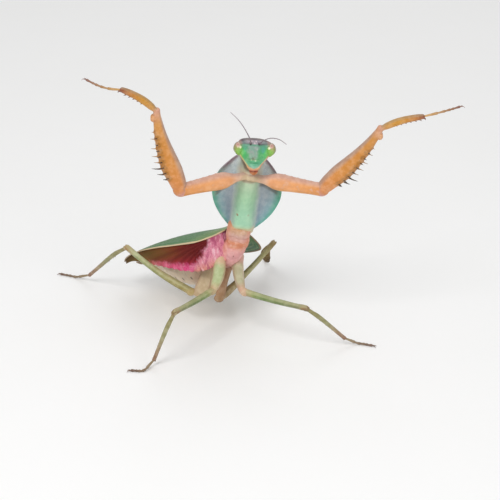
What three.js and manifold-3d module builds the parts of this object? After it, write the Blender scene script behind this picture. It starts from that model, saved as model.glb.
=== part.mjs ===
// Shield mantis (adult female) in its threat display, standing on four walking legs.
// Millimetres, +Z up, the floor at z = 0 and the animal facing -Y.
// The origin is the middle of the footprint of its bounding box.

import * as THREE from "three";
import { mergeVertices } from "three/addons/utils/BufferGeometryUtils.js";
import Module from "manifold-3d";

const wasm = await Module();
wasm.setup();

// ---- Driving dimensions (mm and degrees) ----

const GAP = 0.3; // clearance between neighbouring pieces
const FOOT_HEIGHT = 0.4; // a foot's axis above the floor
const FOOT_RADIUS = 0.5; // cut flat at the floor

// Headings turn about +Z from -Y towards +X; pitches rise from the floor.
const BODY = { centre: [-5.7, 0, 24.7], heading: 47.3, pitch: 24.4, roll: 29.7 };
const PROTHORAX = { base: [5.8, 1.5, 2.2], heading: 49.7, pitch: 80.7 };
const HEAD = { place: [30.8, 0.3, -3.9], heading: 0, pitch: 12, roll: 2.8 };
const SHIELD = { start: 1, end: 28.6, halfWidth: 10, thickness: 0.9, height: 2.9 };
const WING = { length: 45, hinge: 2.4, base: 4, rise: 4.2, thickness: 0.6 };

// Each leg: root in its parent's frame, then length, heading and pitch of each segment.
const FORELEGS = {
  right: {
    root: [21.2, -2.3, -2.5],
    coxa: [18.2, -68.6, -4.3], femur: [25.5, -62.2, 74.5],
    tibia: [12.6, -58.9, 37.9], tarsus: [12, -119, 5.3],
  },
  left: {
    root: [21.2, 2.5, -2.5],
    coxa: [18.2, 84.5, -8.4], femur: [25.2, 79.9, 50.2],
    tibia: [12.6, 68.5, 23.6], tarsus: [12, 111.1, 7.1],
  },
};

// Walking legs: the tarsus first drops to the floor, then lies along it.
const WALKING_LEGS = {
  mid_right: {
    root: [0, 3, -4.2], coxa: [9.5, -24, -48.5], femur: [20, -31, 5],
    tibia: [16.5, -91, -67.8], instep: [4.7, -38], toe: [4, -94],
  },
  mid_left: {
    root: [0, -3, -4.2], coxa: [9.5, 14, -35], femur: [20, 63, -2],
    tibia: [16.4, 103.6, -43.3], instep: [4.7, 104], toe: [4.7, 72],
  },
  hind_right: {
    root: [-7.5, 3.4, -4], coxa: [9.8, -48, -60], femur: [26, -126, 17.7],
    tibia: [26, -138, -39.5], instep: [6.4, -127], toe: [6, -114],
  },
  hind_left: {
    root: [-7.5, -3.4, -4], coxa: [9.9, -9.5, -56.5], femur: [26, 136, 23.7],
    tibia: [26, -176, -37.3], instep: [6.4, -173], toe: [6, -174],
  },
};

// Half thicknesses along a segment: [fraction of its length, wide way, thin way].
const PROFILES = {
  fore_coxa: [[0, 1.6, 1.6], [0.2, 2.1, 1.9], [0.45, 2.5, 2], [0.8, 2.1, 1.8], [1, 2, 1.7]],
  fore_femur: [
    [0, 1.7, 1.5], [0.12, 2.15, 1.6], [0.3, 2.35, 1.6], [0.6, 1.75, 1.4], [0.8, 1.3, 1.2],
    [1, 1.25, 1.1],
  ],
  fore_tibia: [[0, 1.1, 1], [0.3, 0.95, 0.9], [0.8, 0.95, 0.85], [1, 0.75, 0.65]],
  fore_tarsus: [[0, 0.5, 0.5], [0.5, 0.5, 0.45], [1, 0.42, 0.4]],
  mid_coxa: [[0, 1.8, 1.9], [0.4, 1.75, 1.8], [1, 1.3, 1.35]],
  mid_femur: [[0, 1.1, 1], [0.3, 1.05, 1], [0.8, 0.9, 0.85], [1, 0.9, 0.85]],
  hind_coxa: [[0, 2, 2.2], [0.5, 2.1, 2.5], [1, 1.7, 2]],
  hind_femur: [[0, 1.2, 1.1], [0.25, 1.2, 1.05], [0.6, 0.95, 0.9], [1, 0.9, 0.85]],
  walk_tibia: [[0, 0.65, 0.65], [0.3, 0.7, 0.65], [1, 0.62, 0.58]],
};

// Sideways bow of the foreleg's segments, towards the spines.
const FORE_BOW = { coxa: 0, femur: 1, tibia: -1, tarsus: 0 };

const COLOURS = {
  head: 0x4fa878, eye: 0x78a850, mouth: 0xc08058, feeler: 0x8a7890, shield: 0x6aa8a0,
  column: 0x9ccba0, thorax: 0xdd9c90, abdomen: 0xcdb8a0, tegmen: 0x4a8a5a, hindwing: 0xa83c58,
  foreleg: 0xe8a060, coxa: 0xb0b890, walking_leg: 0x90a065, tarsus: 0x907050,
};

// ---- Directions and frames ----

const radians = THREE.MathUtils.degToRad;
const vector = (x, y, z) => new THREE.Vector3(x, y, z);

function direction(heading, pitch) {
  const level = Math.cos(radians(pitch));
  const h = radians(heading);
  return vector(level * Math.sin(h), -level * Math.cos(h), Math.sin(radians(pitch)));
}

function from(point, way, distance) {
  return point.clone().addScaledVector(way, distance);
}

// A frame turns (a, b, c) into origin + a * first + b * second + c * third.
function makeFrame(origin, first, second, third) {
  return (a, b, c) => from(from(from(origin, first, a), second, b), third, c);
}

// Body frame: forward, to the animal's right, towards its back.
const bodyForward = direction(BODY.heading, BODY.pitch);
const bodyRight = direction(BODY.heading - 90, 0).applyAxisAngle(bodyForward, -radians(BODY.roll));
const bodyBack = bodyRight.clone().cross(bodyForward);
const body = makeFrame(vector(...BODY.centre), bodyForward, bodyRight, bodyBack);

// Prothorax frame: along the raised neck shield, to the animal's left, towards its back.
const proUp = direction(PROTHORAX.heading, PROTHORAX.pitch);
const proBelly = direction(0, 0).projectOnPlane(proUp).normalize();
const proLeft = proUp.clone().cross(proBelly);
const pro = makeFrame(body(...PROTHORAX.base), proUp, proLeft, proBelly.clone().negate());

// Head frame: to the animal's left, out of the face, up the face.
const face = direction(HEAD.heading, HEAD.pitch);
const headUp = direction(HEAD.heading, HEAD.pitch + 90).applyAxisAngle(face, -radians(HEAD.roll));
const headLeft = headUp.clone().cross(face);
const head = makeFrame(pro(...HEAD.place), headLeft, face, headUp);

// ---- Solids ----

// Closed solid through rings of points, each end closed by a fan; turned outwards by volume.
function solidThrough(rings) {
  const sides = rings[0].length;
  const points = rings.flat();
  const triangles = [];
  for (let i = 0; i + 1 < rings.length; i++) {
    for (let j = 0; j < sides; j++) {
      const a = i * sides + j;
      const b = i * sides + ((j + 1) % sides);
      triangles.push([a, b, b + sides], [a, b + sides, a + sides]);
    }
  }
  for (const [start, flip] of [[0, true], [(rings.length - 1) * sides, false]]) {
    const centre = points.length;
    const ring = points.slice(start, start + sides);
    points.push(ring.reduce((sum, p) => sum.add(p), vector(0, 0, 0)).divideScalar(sides));
    for (let j = 0; j < sides; j++) {
      const a = start + j;
      const b = start + ((j + 1) % sides);
      triangles.push(flip ? [centre, b, a] : [centre, a, b]);
    }
  }
  return asManifold(points, triangles);
}

function asManifold(points, triangles) {
  const volume = triangles.reduce((sum, [a, b, c]) => {
    return sum + points[a].dot(points[b].clone().cross(points[c]));
  }, 0);
  const outward = volume > 0 ? triangles : triangles.map(([a, b, c]) => [a, c, b]);
  return new wasm.Manifold(new wasm.Mesh({
    numProp: 3,
    vertProperties: new Float32Array(points.flatMap((p) => p.toArray())),
    triVerts: new Uint32Array(outward.flat()),
  }));
}

// A three.js geometry, placed by a matrix, as a solid that can be joined and cut.
function solidFrom(geometry, matrix) {
  const bare = geometry.clone().applyMatrix4(matrix);
  bare.deleteAttribute("normal");
  bare.deleteAttribute("uv");
  const { attributes, index } = mergeVertices(bare, 1e-4);
  const points = [];
  for (let i = 0; i < attributes.position.count; i++) {
    points.push(new THREE.Vector3().fromBufferAttribute(attributes.position, i));
  }
  const triangles = [];
  for (let i = 0; i < index.count; i += 3) triangles.push([...index.array.slice(i, i + 3)]);
  return asManifold(points, triangles);
}

function carve(target, cutters) {
  return cutters.reduce((solid, cutter) => solid.subtract(cutter), target);
}

function largestPiece(solid) {
  return solid.decompose().sort((a, b) => b.volume() - a.volume())[0];
}

// Linear reading of a table of rows [position, value, value...].
function readTable(table, position) {
  let k = 0;
  while (k < table.length - 2 && position > table[k + 1][0]) k++;
  const [low, high] = [table[k], table[k + 1]];
  const share = THREE.MathUtils.clamp((position - low[0]) / (high[0] - low[0]), 0, 1);
  return low.slice(1).map((value, i) => THREE.MathUtils.lerp(value, high[i + 1], share));
}

function ellipse(centre, wide, wideRadius, thin, thinRadius, sides) {
  return Array.from({ length: sides }, (_, j) => {
    const angle = (2 * Math.PI * (j + 0.5)) / sides;
    const out = from(centre, wide, wideRadius * Math.cos(angle));
    return from(out, thin, thinRadius * Math.sin(angle));
  });
}

const CAP_ANGLES = [62];

// Limb segment from start to end: elliptic sections, domed start, domed or blunt end.
// `grow` widens it all round, for cutting the clearance in a neighbour.
function segment({ start, end, profile, wideTowards, bow = 0, sides = 8, steps = 4 }, grow = 0) {
  const axis = end.clone().sub(start);
  const length = axis.length();
  axis.normalize();
  const wide = wideTowards.clone().projectOnPlane(axis).normalize();
  const thin = axis.clone().cross(wide);
  const ring = (distance, shrink) => {
    const share = THREE.MathUtils.clamp(distance / length, 0, 1);
    const [a, b] = readTable(PROFILES[profile], share);
    const middle = from(from(start, axis, distance), wide, bow * Math.sin(Math.PI * share));
    return ellipse(middle, wide, (a + grow) * shrink, thin, (b + grow) * shrink, sides);
  };
  const capDepth = (share) => readTable(PROFILES[profile], share)[1] + grow;
  const rings = [];
  for (const cap of CAP_ANGLES) {
    rings.push(ring(-capDepth(0) * Math.sin(radians(cap)), Math.cos(radians(cap))));
  }
  for (let i = 0; i <= steps; i++) rings.push(ring((length * i) / steps, 1));
  for (const cap of [...CAP_ANGLES].reverse()) {
    const over = capDepth(1) * Math.sin(radians(cap));
    rings.push(ring(length + over, Math.cos(radians(cap))));
  }
  return solidThrough(rings);
}

// Tapered horn along a path of points: spines, claws, feelers and tails.
function horn(path, startRadius, endRadius, sides = 5) {
  const rings = path.map((point, i) => {
    const along = path[Math.min(i + 1, path.length - 1)].clone()
      .sub(path[Math.max(i - 1, 0)]).normalize();
    const wide = Math.abs(along.z) > 0.9 ? vector(1, 0, 0) : vector(0, 0, 1);
    wide.projectOnPlane(along).normalize();
    const radius = THREE.MathUtils.lerp(startRadius, endRadius, i / (path.length - 1));
    return ellipse(point, wide, radius, along.clone().cross(wide), radius, sides);
  });
  return solidThrough(rings);
}

// Sheet of even thickness over a grid of points given by surface(s, t), both from 0 to 1.
function sheet(surface, alongSteps, acrossSteps, thickness) {
  const step = 0.01;
  const side = (s, t, offset) => {
    const centre = surface(s, t);
    const back = surface(Math.max(s - step, 0), t);
    const ahead = surface(Math.min(s + step, 1), t);
    const low = surface(s, Math.max(t - step, 0));
    const high = surface(s, Math.min(t + step, 1));
    const normal = ahead.sub(back).cross(high.sub(low)).normalize();
    return from(centre, normal, offset);
  };
  const rings = [];
  for (let i = 0; i <= alongSteps; i++) {
    const ring = [];
    for (let j = 0; j <= acrossSteps; j++) {
      ring.push(side(i / alongSteps, j / acrossSteps, thickness / 2));
    }
    for (let j = acrossSteps; j >= 0; j--) {
      ring.push(side(i / alongSteps, j / acrossSteps, -thickness / 2));
    }
    rings.push(ring);
  }
  return solidThrough(rings);
}

// ---- Trunk ----

// Prothorax: the column under the neck shield, widest at the front coxae.
const COLUMN = [
  [-0.3, 2.9, 2.1], [2, 3.5, 2.4], [6, 3.3, 2.3], [14, 3.5, 2.3],
  [20, 4, 2.4], [24, 3.2, 2.1], [26.5, 2.2, 1.7],
];

function column(grow = 0) {
  return solidThrough(COLUMN.map(([u, wide, deep], i) => {
    const ends = i === 0 ? -grow : i === COLUMN.length - 1 ? grow : 0;
    return ellipse(pro(u + ends, 0, 0), proLeft, wide + grow, proBelly, deep + grow, 12);
  }));
}

// Neck shield: a flat dome over the column with a blunt keel, its edge like a broad oval.
function shieldHalfWidth(share) {
  return SHIELD.halfWidth * Math.sin(Math.PI * share) ** (0.55 + 0.35 * share);
}

function shieldPoint(s, t) {
  const share = THREE.MathUtils.lerp(0.012, 0.985, s);
  const u = THREE.MathUtils.lerp(SHIELD.start, SHIELD.end, share);
  const across = 2 * t - 1;
  const left = across * shieldHalfWidth(share);
  const keel = 0.5 * Math.exp(-((left / 1.6) ** 2));
  const fold = -0.012 * left * left - 0.5 * Math.cos(Math.PI * share) ** 2;
  return pro(u, left, SHIELD.height + keel + fold);
}

// Middle thorax: bends from the upright prothorax back to the sloping trunk.
// Rows: [forward, right, height, half width, half depth, share of the bend].
const MESOTHORAX = [
  [5.4, 1.8, 1.7, 2.8, 2.3, 0], [4.6, 1.3, 0.9, 3.1, 2.5, 0.2], [3.2, 0.7, 0.2, 3.5, 3.2, 0.6],
  [1.2, 0.1, -0.3, 3.9, 3.9, 0.9], [-0.8, 0, -0.5, 4.1, 4.2, 1], [-3, 0, -0.6, 4.1, 4.2, 1],
];

// Trunk behind it: stations [forward, half width, half depth, height].
const METATHORAX = [[-3.3, 4.1, 4.2, -0.6], [-7, 4.3, 4.3, -0.8], [-10.3, 4.6, 4.3, -1.2]];

function trunkRings(stations, grow, sides = 12) {
  return stations.map(([forward, wide, deep, height], i) => {
    const ends = i === 0 ? grow : i === stations.length - 1 ? -grow : 0;
    const centre = body(forward + ends, 0, height);
    return ellipse(centre, bodyRight, wide + grow, bodyBack, deep + grow, sides);
  });
}

function mesothorax(grow = 0) {
  return solidThrough(MESOTHORAX.map(([forward, right, height, wide, deep, bend], i) => {
    const leftward = proLeft.clone().multiplyScalar(1 - bend).addScaledVector(bodyRight, -bend);
    const belly = proBelly.clone().multiplyScalar(1 - bend).addScaledVector(bodyBack, -bend);
    const ends = i === 0 ? grow : i === MESOTHORAX.length - 1 ? -grow : 0;
    const centre = body(forward + ends, right, height);
    return ellipse(centre, leftward.normalize(), wide + grow, belly.normalize(), deep + grow, 12);
  }));
}

const metathorax = (grow = 0) => solidThrough(trunkRings(METATHORAX, grow));

// Abdomen: the same stations, deep in front, its rear slimmer and turned up.
const ABDOMEN = [
  [-10.6, 4.9, 4.6, -1.5], [-14, 6, 5.5, -2.2], [-18, 6.6, 5.7, -2.4], [-22, 6.6, 5.2, -2.2],
  [-26, 6, 4.3, -1.7], [-30, 5, 3.2, -1.2], [-34, 3.7, 2.2, -0.8], [-37, 2.4, 1.4, -0.5],
  [-39, 1.1, 0.7, -0.3],
];

const abdomen = (grow = 0) => solidThrough(trunkRings(ABDOMEN, grow, 14));

function cercus(side) {
  const path = [[-38, 1, -0.6], [-39.3, 1.8, -0.7], [-40.6, 2.3, -0.6], [-41.7, 2.5, -0.3]];
  return horn(path.map(([f, r, d]) => body(f, side * r, d)), 0.55, 0.3, 6);
}

// ---- Wings ----

// Outline of a tegmen against the share of its length: [share, inner edge, outer edge].
const TEGMEN_OUTLINE = [
  [0, -1.6, 1], [0.05, -2.6, 4], [0.1, -3.2, 6.1], [0.15, -3.7, 7.1], [0.2, -4, 7.3], [0.35, -4.5, 7],
  [0.5, -4.4, 6.1], [0.7, -3.9, 4.8], [0.85, -3, 3.2], [0.95, -1.9, 1.8], [1, -0.7, 0.5],
];

// side is +1 right, -1 left; open is the angle from the body's axis; slope falls outwards.
const WINGS = {
  right: { side: 1, open: 3, slope: 0.5, lift: 0 },
  left: { side: -1, open: 21, slope: 0.17, lift: 6.5 },
};

// Height of a tegmen's middle surface above the body's axis: steepest across at the hinge.
function wingHeight({ slope, lift }, share, across) {
  const arch = Math.sin(Math.PI * share);
  const steepness = 1 + 0.7 * Math.exp(-14 * share) + 0.11 * arch;
  const fall = slope * steepness * across + 0.016 * across * across;
  const droop = 3 * share ** 3 + 1.8 * share ** 10;
  return WING.rise + 0.6 * Math.exp(-12 * share) + 0.35 * arch + lift * share ** 2 - droop - fall;
}

function wingPlace({ side, open }, share, across, height) {
  const turn = radians(open);
  const back = WING.length * share;
  const forward = WING.hinge - back * Math.cos(turn) + across * Math.sin(turn);
  const out = WING.base + back * Math.sin(turn) + across * Math.cos(turn);
  return body(forward, side * out, height);
}

function tegmenPoint(wing, s, t) {
  const [inner, outer] = readTable(TEGMEN_OUTLINE, s);
  const across = THREE.MathUtils.lerp(inner, outer, t);
  return wingPlace(wing, s, across, wingHeight(wing, s, across));
}

// Hindwing: lies under the tegmen's outer part, then turns down and in to the body's side.
const HINDWING_DEPTH = [
  [0, 5.5], [0.12, 7], [0.32, 6.8], [0.5, 5.4], [0.7, 3.8], [0.9, 1.6], [1, 0.9],
];
const HINDWING_FOLD = 0.25; // share of the width that lies under the tegmen
const RUFFLES = 7;

const HINDWINGS = {
  right: { ...WINGS.right, hang: 1, tuck: 3.6, inset: 0.7, start: 0.03, end: 0.95 },
  left: { ...WINGS.left, hang: 0.2, tuck: 0.5, inset: 3.4, start: 0.2, end: 0.93 },
};

function hindwingPoint(wing, s, t) {
  const share = THREE.MathUtils.lerp(wing.start, wing.end, s);
  const [, outer] = readTable(TEGMEN_OUTLINE, share);
  const edge = Math.max(outer - wing.inset, 0.3);
  const hung = Math.max(0, (t - HINDWING_FOLD) / (1 - HINDWING_FOLD));
  const inwards = Math.max(0, 1 - t / HINDWING_FOLD) * Math.min(2.5, edge + 1);
  const [depth] = readTable(HINDWING_DEPTH, s);
  const ruffle = 0.35 * hung ** 3 * Math.sin(2 * Math.PI * RUFFLES * s) * Math.sin(Math.PI * s);
  const inturn = (wing.tuck * hung ** 1.4 * depth) / 7;
  const top = wingHeight(wing, share, edge - inwards) - WING.thickness - GAP;
  return wingPlace(wing, share, edge - inwards - inturn + ruffle, top - wing.hang * depth * hung);
}

// ---- Head ----

// Head capsule: [height, half width, half depth, forward shift], from mouth to crown.
const HEAD_SECTIONS = [
  [-5.9, 0.9, 0.6, 0.4], [-5.1, 1.7, 1, 0.35], [-4.2, 2.4, 1.35, 0.25], [-2.9, 3.4, 1.7, 0.1],
  [-1.2, 4.5, 2, 0], [0.6, 4.6, 2.15, -0.1], [1.8, 4.5, 1.9, -0.25], [2.5, 3.7, 1.3, -0.5],
  [3, 2, 0.7, -0.75],
];
const EYE = { place: [4.45, 0.1, 0.3], half: [1.5, 1.85, 2], lean: 8 };

function headCapsule(grow = 0) {
  return solidThrough(HEAD_SECTIONS.map(([height, wide, deep, shift], i) => {
    const ends = i === 0 ? -grow : i === HEAD_SECTIONS.length - 1 ? grow : 0;
    return ellipse(head(0, shift, height + ends), headLeft, wide + grow, face, deep + grow, 16);
  }));
}

function eye(side, grow = 0) {
  const place = new THREE.Matrix4().makeBasis(headLeft, face, headUp);
  place.setPosition(head(side * EYE.place[0], EYE.place[1], EYE.place[2]));
  const lean = new THREE.Matrix4().makeRotationY(radians(side * EYE.lean));
  const size = EYE.half.map((half) => half + grow);
  const scale = new THREE.Matrix4().makeScale(...size);
  return solidFrom(new THREE.IcosahedronGeometry(1, 2), place.multiply(lean).multiply(scale));
}

function mouthparts() {
  const sections = [[-6.2, 1.2, 0.8, 0.15], [-6.7, 1, 0.7, 0.2], [-7.2, 0.5, 0.4, 0.3]];
  const jaw = solidThrough(sections.map(([height, wide, deep, shift]) => {
    return ellipse(head(0, shift, height), headLeft, wide, face, deep, 8);
  }));
  const palps = [-1, 1].map((side) => horn([
    head(side * 0.7, 0.3, -6.6), head(side * 1.2, 0.8, -6.7), head(side * 0.8, 1.1, -7.3),
  ], 0.3, 0.26));
  return palps.reduce((sum, palp) => sum.add(palp), jaw);
}

// Feelers: points in the head frame, from the socket above the face to the tip.
const ANTENNAE = {
  right: [[-1.2, 2.2, 1.7], [-1.3, 2.4, 2.9], [-2.6, 1.9, 5.1], [-4.7, 0.6, 7.9], [-7.2, -1.5, 10]],
  left: [[1.2, 2.2, 1.7], [2, 2.4, 2.9], [4.2, 1.6, 3.8], [6.6, 0.4, 3.4], [8.8, -1.4, 1.8]],
};

function antenna(side) {
  const curve = new THREE.CatmullRomCurve3(ANTENNAE[side].map((p) => head(...p)));
  return horn(curve.getPoints(9), 0.36, 0.26, 5);
}

const neck = () => horn([pro(26.8, 0, -0.2), pro(28.4, 0.2, -0.9), head(0, -2.6, -0.3)], 1.7, 1.5, 10);

// ---- Legs ----

function forelegSegments(side, leg) {
  const outwards = side === "right" ? -1 : 1;
  const spineWay = vector(outwards, 0, -0.35);
  const specs = {};
  let start = pro(...leg.root);
  for (const name of ["coxa", "femur", "tibia", "tarsus"]) {
    const [length, heading, pitch] = leg[name];
    const end = from(start, direction(heading, pitch), length);
    const wideTowards = name === "coxa" ? vector(0, 0, 1) : spineWay;
    specs[name] = { start, end, wideTowards, profile: `fore_${name}`, steps: 5, bow: FORE_BOW[name] };
    start = end;
  }
  return specs;
}

function walkingLegSegments(place, leg) {
  const specs = {};
  let start = body(...leg.root);
  for (const name of ["coxa", "femur", "tibia"]) {
    const [length, heading, pitch] = leg[name];
    const end = from(start, direction(heading, pitch), length);
    const profile = name === "tibia" ? "walk_tibia" : `${place}_${name}`;
    specs[name] = { start, end, profile, wideTowards: vector(0, 0, 1), steps: 3 };
    start = end;
  }
  const [length, heading] = leg.instep;
  const drop = THREE.MathUtils.radToDeg(Math.asin((start.z - FOOT_HEIGHT) / length));
  const landing = from(start, direction(heading, -drop), length);
  specs.instep = { start, end: landing };
  specs.toe = { start: landing, end: from(landing, direction(leg.toe[1], 0), leg.toe[0]) };
  return specs;
}

// Spines on the inner edge of a foreleg segment: [share of length, spine length, sideways lean].
const FEMUR_SPINES = [
  [0.16, 1, 0.3], [0.24, 1.6, -0.3], [0.315, 2.2, 0.3], [0.395, 1.5, -0.3], [0.47, 1.6, 0.3],
  [0.565, 1.5, -0.3], [0.68, 1.4, 0.2],
];
const TIBIA_SPINES = [
  [0.42, 0.3, 0.2], [0.54, 0.35, -0.2], [0.66, 0.4, 0.2], [0.78, 0.5, -0.2], [0.9, 0.5, 0.2],
];

function spines(spec, rows) {
  const axis = spec.end.clone().sub(spec.start);
  const length = axis.length();
  axis.normalize();
  const out = spec.wideTowards.clone().projectOnPlane(axis).normalize();
  const across = axis.clone().cross(out);
  return rows.map(([share, long, lean]) => {
    const [wide] = readTable(PROFILES[spec.profile], share);
    const aside = wide - 0.5 + spec.bow * Math.sin(Math.PI * share);
    const foot = from(from(spec.start, axis, length * share), out, aside);
    const way = out.clone().addScaledVector(across, lean).addScaledVector(axis, 0.25).normalize();
    return horn([foot, from(foot, way, long + 0.5)], 0.42, 0.25, 4);
  });
}

// Terminal claw of the fore tibia, hooked beyond its end towards the spines.
function claw(spec) {
  const axis = spec.end.clone().sub(spec.start).normalize();
  const out = spec.wideTowards.clone().projectOnPlane(axis).normalize();
  const path = [[-0.9, 0.2], [0.2, 0.45], [0.7, 0.8], [0.9, 1.4]];
  return horn(path.map(([along, aside]) => from(from(spec.end, axis, along), out, aside)), 0.6, 0.25, 5);
}

// ---- Assembly ----

const meshes = [];

function addMesh(name, solid, colour, roughness = 0.55) {
  const { vertProperties, triVerts } = largestPiece(solid).getMesh();
  const geometry = new THREE.BufferGeometry();
  geometry.setAttribute("position", new THREE.BufferAttribute(new Float32Array(vertProperties), 3));
  geometry.setIndex(new THREE.BufferAttribute(new Uint32Array(triVerts), 1));
  geometry.computeVertexNormals();
  const material = new THREE.MeshStandardMaterial({ color: COLOURS[colour], roughness, metalness: 0 });
  const mesh = new THREE.Mesh(geometry, material);
  mesh.name = name;
  meshes.push(mesh);
}

const joinAll = (solids) => solids.reduce((sum, solid) => sum.add(solid));

// Forelegs: each segment is cut back from the next one's rounded start.
const foreCoxae = [];
for (const [side, leg] of Object.entries(FORELEGS)) {
  const { coxa, femur, tibia, tarsus } = forelegSegments(side, leg);
  foreCoxae.push(segment(coxa, GAP));
  addMesh(`fore_coxa_${side}`, carve(segment(coxa), [segment(femur, GAP)]), "foreleg");
  const femurBody = joinAll([segment(femur), ...spines(femur, FEMUR_SPINES)]);
  addMesh(`fore_femur_${side}`, carve(femurBody, [segment(tibia, GAP)]), "foreleg");
  const tibiaBody = joinAll([segment(tibia), ...spines(tibia, TIBIA_SPINES), claw(tibia)]);
  addMesh(`fore_tibia_${side}`, carve(tibiaBody, [segment(tarsus, GAP)]), "foreleg");
  addMesh(`fore_tarsus_${side}`, segment(tarsus), "tarsus");
}

// Walking legs: the foot's underside is cut flat at the floor.
const floorBlock = solidFrom(
  new THREE.BoxGeometry(400, 400, 10), new THREE.Matrix4().makeTranslation(0, 0, -5),
);
const walkingCoxae = [];
for (const [name, leg] of Object.entries(WALKING_LEGS)) {
  const { coxa, femur, tibia, instep, toe } = walkingLegSegments(name.split("_")[0], leg);
  walkingCoxae.push(segment(coxa, GAP));
  addMesh(`${name}_coxa`, carve(segment(coxa), [segment(femur, GAP)]), "coxa");
  addMesh(`${name}_femur`, carve(segment(femur), [segment(tibia, GAP)]), "walking_leg");
  const foot = horn([instep.start, instep.end], 0.45, FOOT_RADIUS, 8)
    .add(horn([instep.end, toe.end], FOOT_RADIUS, FOOT_RADIUS, 8));
  const ankle = horn([instep.start, instep.end], 0.45 + GAP, FOOT_RADIUS + GAP, 8);
  addMesh(`${name}_tibia`, carve(segment(tibia), [ankle]), "walking_leg");
  addMesh(`${name}_tarsus`, carve(foot, [floorBlock]), "tarsus");
}

// Trunk.
addMesh("prothorax", carve(column(), [...foreCoxae, mesothorax(GAP)]), "column");
addMesh("pronotum_shield", carve(sheet(shieldPoint, 12, 6, SHIELD.thickness), [column(GAP)]), "shield");
addMesh("mesothorax", carve(mesothorax(), walkingCoxae), "thorax");
addMesh("metathorax", carve(metathorax(), [...walkingCoxae, mesothorax(GAP)]), "thorax");
addMesh("abdomen", carve(abdomen(), [...walkingCoxae, metathorax(GAP)]), "abdomen");
for (const [side, sign] of [["right", 1], ["left", -1]]) {
  addMesh(`cercus_${side}`, carve(cercus(sign), [abdomen(GAP)]), "abdomen");
}

// Wings.
const trunkClearance = [mesothorax(GAP), metathorax(GAP), abdomen(GAP), ...walkingCoxae];
for (const side of ["right", "left"]) {
  const tegmen = sheet((s, t) => tegmenPoint(WINGS[side], s, t), 13, 5, WING.thickness);
  addMesh(`tegmen_${side}`, carve(tegmen, trunkClearance), "tegmen", 0.45);
  const hindwing = sheet((s, t) => hindwingPoint(HINDWINGS[side], s, t), 16, 5, WING.thickness);
  addMesh(`hindwing_${side}`, carve(hindwing, trunkClearance), "hindwing");
}

// Head.
addMesh("head", carve(headCapsule(), [eye(1, GAP), eye(-1, GAP)]), "head");
addMesh("eye_left", eye(1), "eye", 0.2);
addMesh("eye_right", eye(-1), "eye", 0.2);
addMesh("mouthparts", mouthparts(), "mouth");
addMesh("antenna_left", antenna("left"), "feeler");
addMesh("antenna_right", antenna("right"), "feeler");
addMesh("neck", carve(neck(), [column(GAP), headCapsule(GAP)]), "thorax");

const mantis = new THREE.Group();
meshes.forEach((mesh) => mantis.add(mesh));
const box = new THREE.Box3().setFromObject(mantis);
mantis.position.set(-(box.min.x + box.max.x) / 2, -(box.min.y + box.max.y) / 2, -box.min.z);

export default mantis;
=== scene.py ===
import math

import bpy
import numpy as np
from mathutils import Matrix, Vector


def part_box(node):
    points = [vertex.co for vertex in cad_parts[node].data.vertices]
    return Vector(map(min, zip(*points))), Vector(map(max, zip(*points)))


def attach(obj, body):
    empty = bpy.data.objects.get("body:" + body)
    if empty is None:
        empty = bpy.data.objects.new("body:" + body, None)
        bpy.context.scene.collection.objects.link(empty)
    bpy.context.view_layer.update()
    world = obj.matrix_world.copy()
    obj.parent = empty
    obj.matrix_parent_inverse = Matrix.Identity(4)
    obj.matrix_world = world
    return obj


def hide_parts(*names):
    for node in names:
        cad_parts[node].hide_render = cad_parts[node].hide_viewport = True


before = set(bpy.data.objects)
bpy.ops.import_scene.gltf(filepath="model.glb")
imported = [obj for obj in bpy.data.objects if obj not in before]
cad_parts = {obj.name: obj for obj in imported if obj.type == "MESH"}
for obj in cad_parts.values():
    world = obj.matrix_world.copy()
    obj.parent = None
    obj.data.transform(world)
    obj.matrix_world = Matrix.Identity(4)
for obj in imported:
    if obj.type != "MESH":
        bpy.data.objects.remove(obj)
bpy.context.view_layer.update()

# The animal is drawn in millimetres in the frames of its CAD part, and moved by SHIFT into the
# row's frame. Headings turn about +Z from -Y towards +X; pitches rise from the floor.
MM = 0.001
BODY = {"centre": (-5.7, 0, 24.7), "heading": 47.3, "pitch": 24.4, "roll": 29.7}
PROTHORAX = {"base": (5.8, 1.5, 2.2), "heading": 49.7, "pitch": 80.7}
HEAD = {"place": (30.8, 0.3, -3.9), "pitch": 12, "roll": 2.8}
EYE = {"place": (4.45, 0.1, 0.3), "half": (1.55, 1.85, 2.15, 1.85), "lean": 8}
FOOT_HEIGHT = 0.4
UP = np.array([0, 0, 1.0])
PARTS = ("coxa", "femur", "tibia", "tarsus")
# The material slots of the forelegs, and of the walking legs.
COXA, FEMUR, TIBIA, SPINE, DARK_SPINE, FOOT, TOOTH = range(7)
COXA, HIP, THIGH, SHIN, SPUR, FOOT = range(6)


# ---- Directions and frames ----

def direction(heading, pitch):
    h, p = math.radians(heading), math.radians(pitch)
    return np.array([math.cos(p) * math.sin(h), -math.cos(p) * math.cos(h), math.sin(p)])


def unit(vector):
    vector = np.asarray(vector, float)
    return vector / np.linalg.norm(vector, axis=-1, keepdims=True)


def square_to(vector, axis):
    """The part of a vector square to an axis, as a unit vector."""
    vector = np.asarray(vector, float)
    return unit(vector - axis * np.sum(vector * axis, axis=-1, keepdims=True))


def turned(vector, axis, degrees):
    c, s = math.cos(math.radians(degrees)), math.sin(math.radians(degrees))
    return vector * c + np.cross(axis, vector) * s + axis * np.dot(axis, vector) * (1 - c)


class Frame:
    """Turns (a, b, c) into origin + a * first + b * second + c * third."""

    def __init__(self, origin, first, second, third):
        self.origin, self.axes = np.asarray(origin, float), (first, second, third)

    def __call__(self, a, b, c):
        parts = [np.asarray(v, float)[..., None] * axis for v, axis in zip((a, b, c), self.axes)]
        return self.origin + parts[0] + parts[1] + parts[2]


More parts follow.
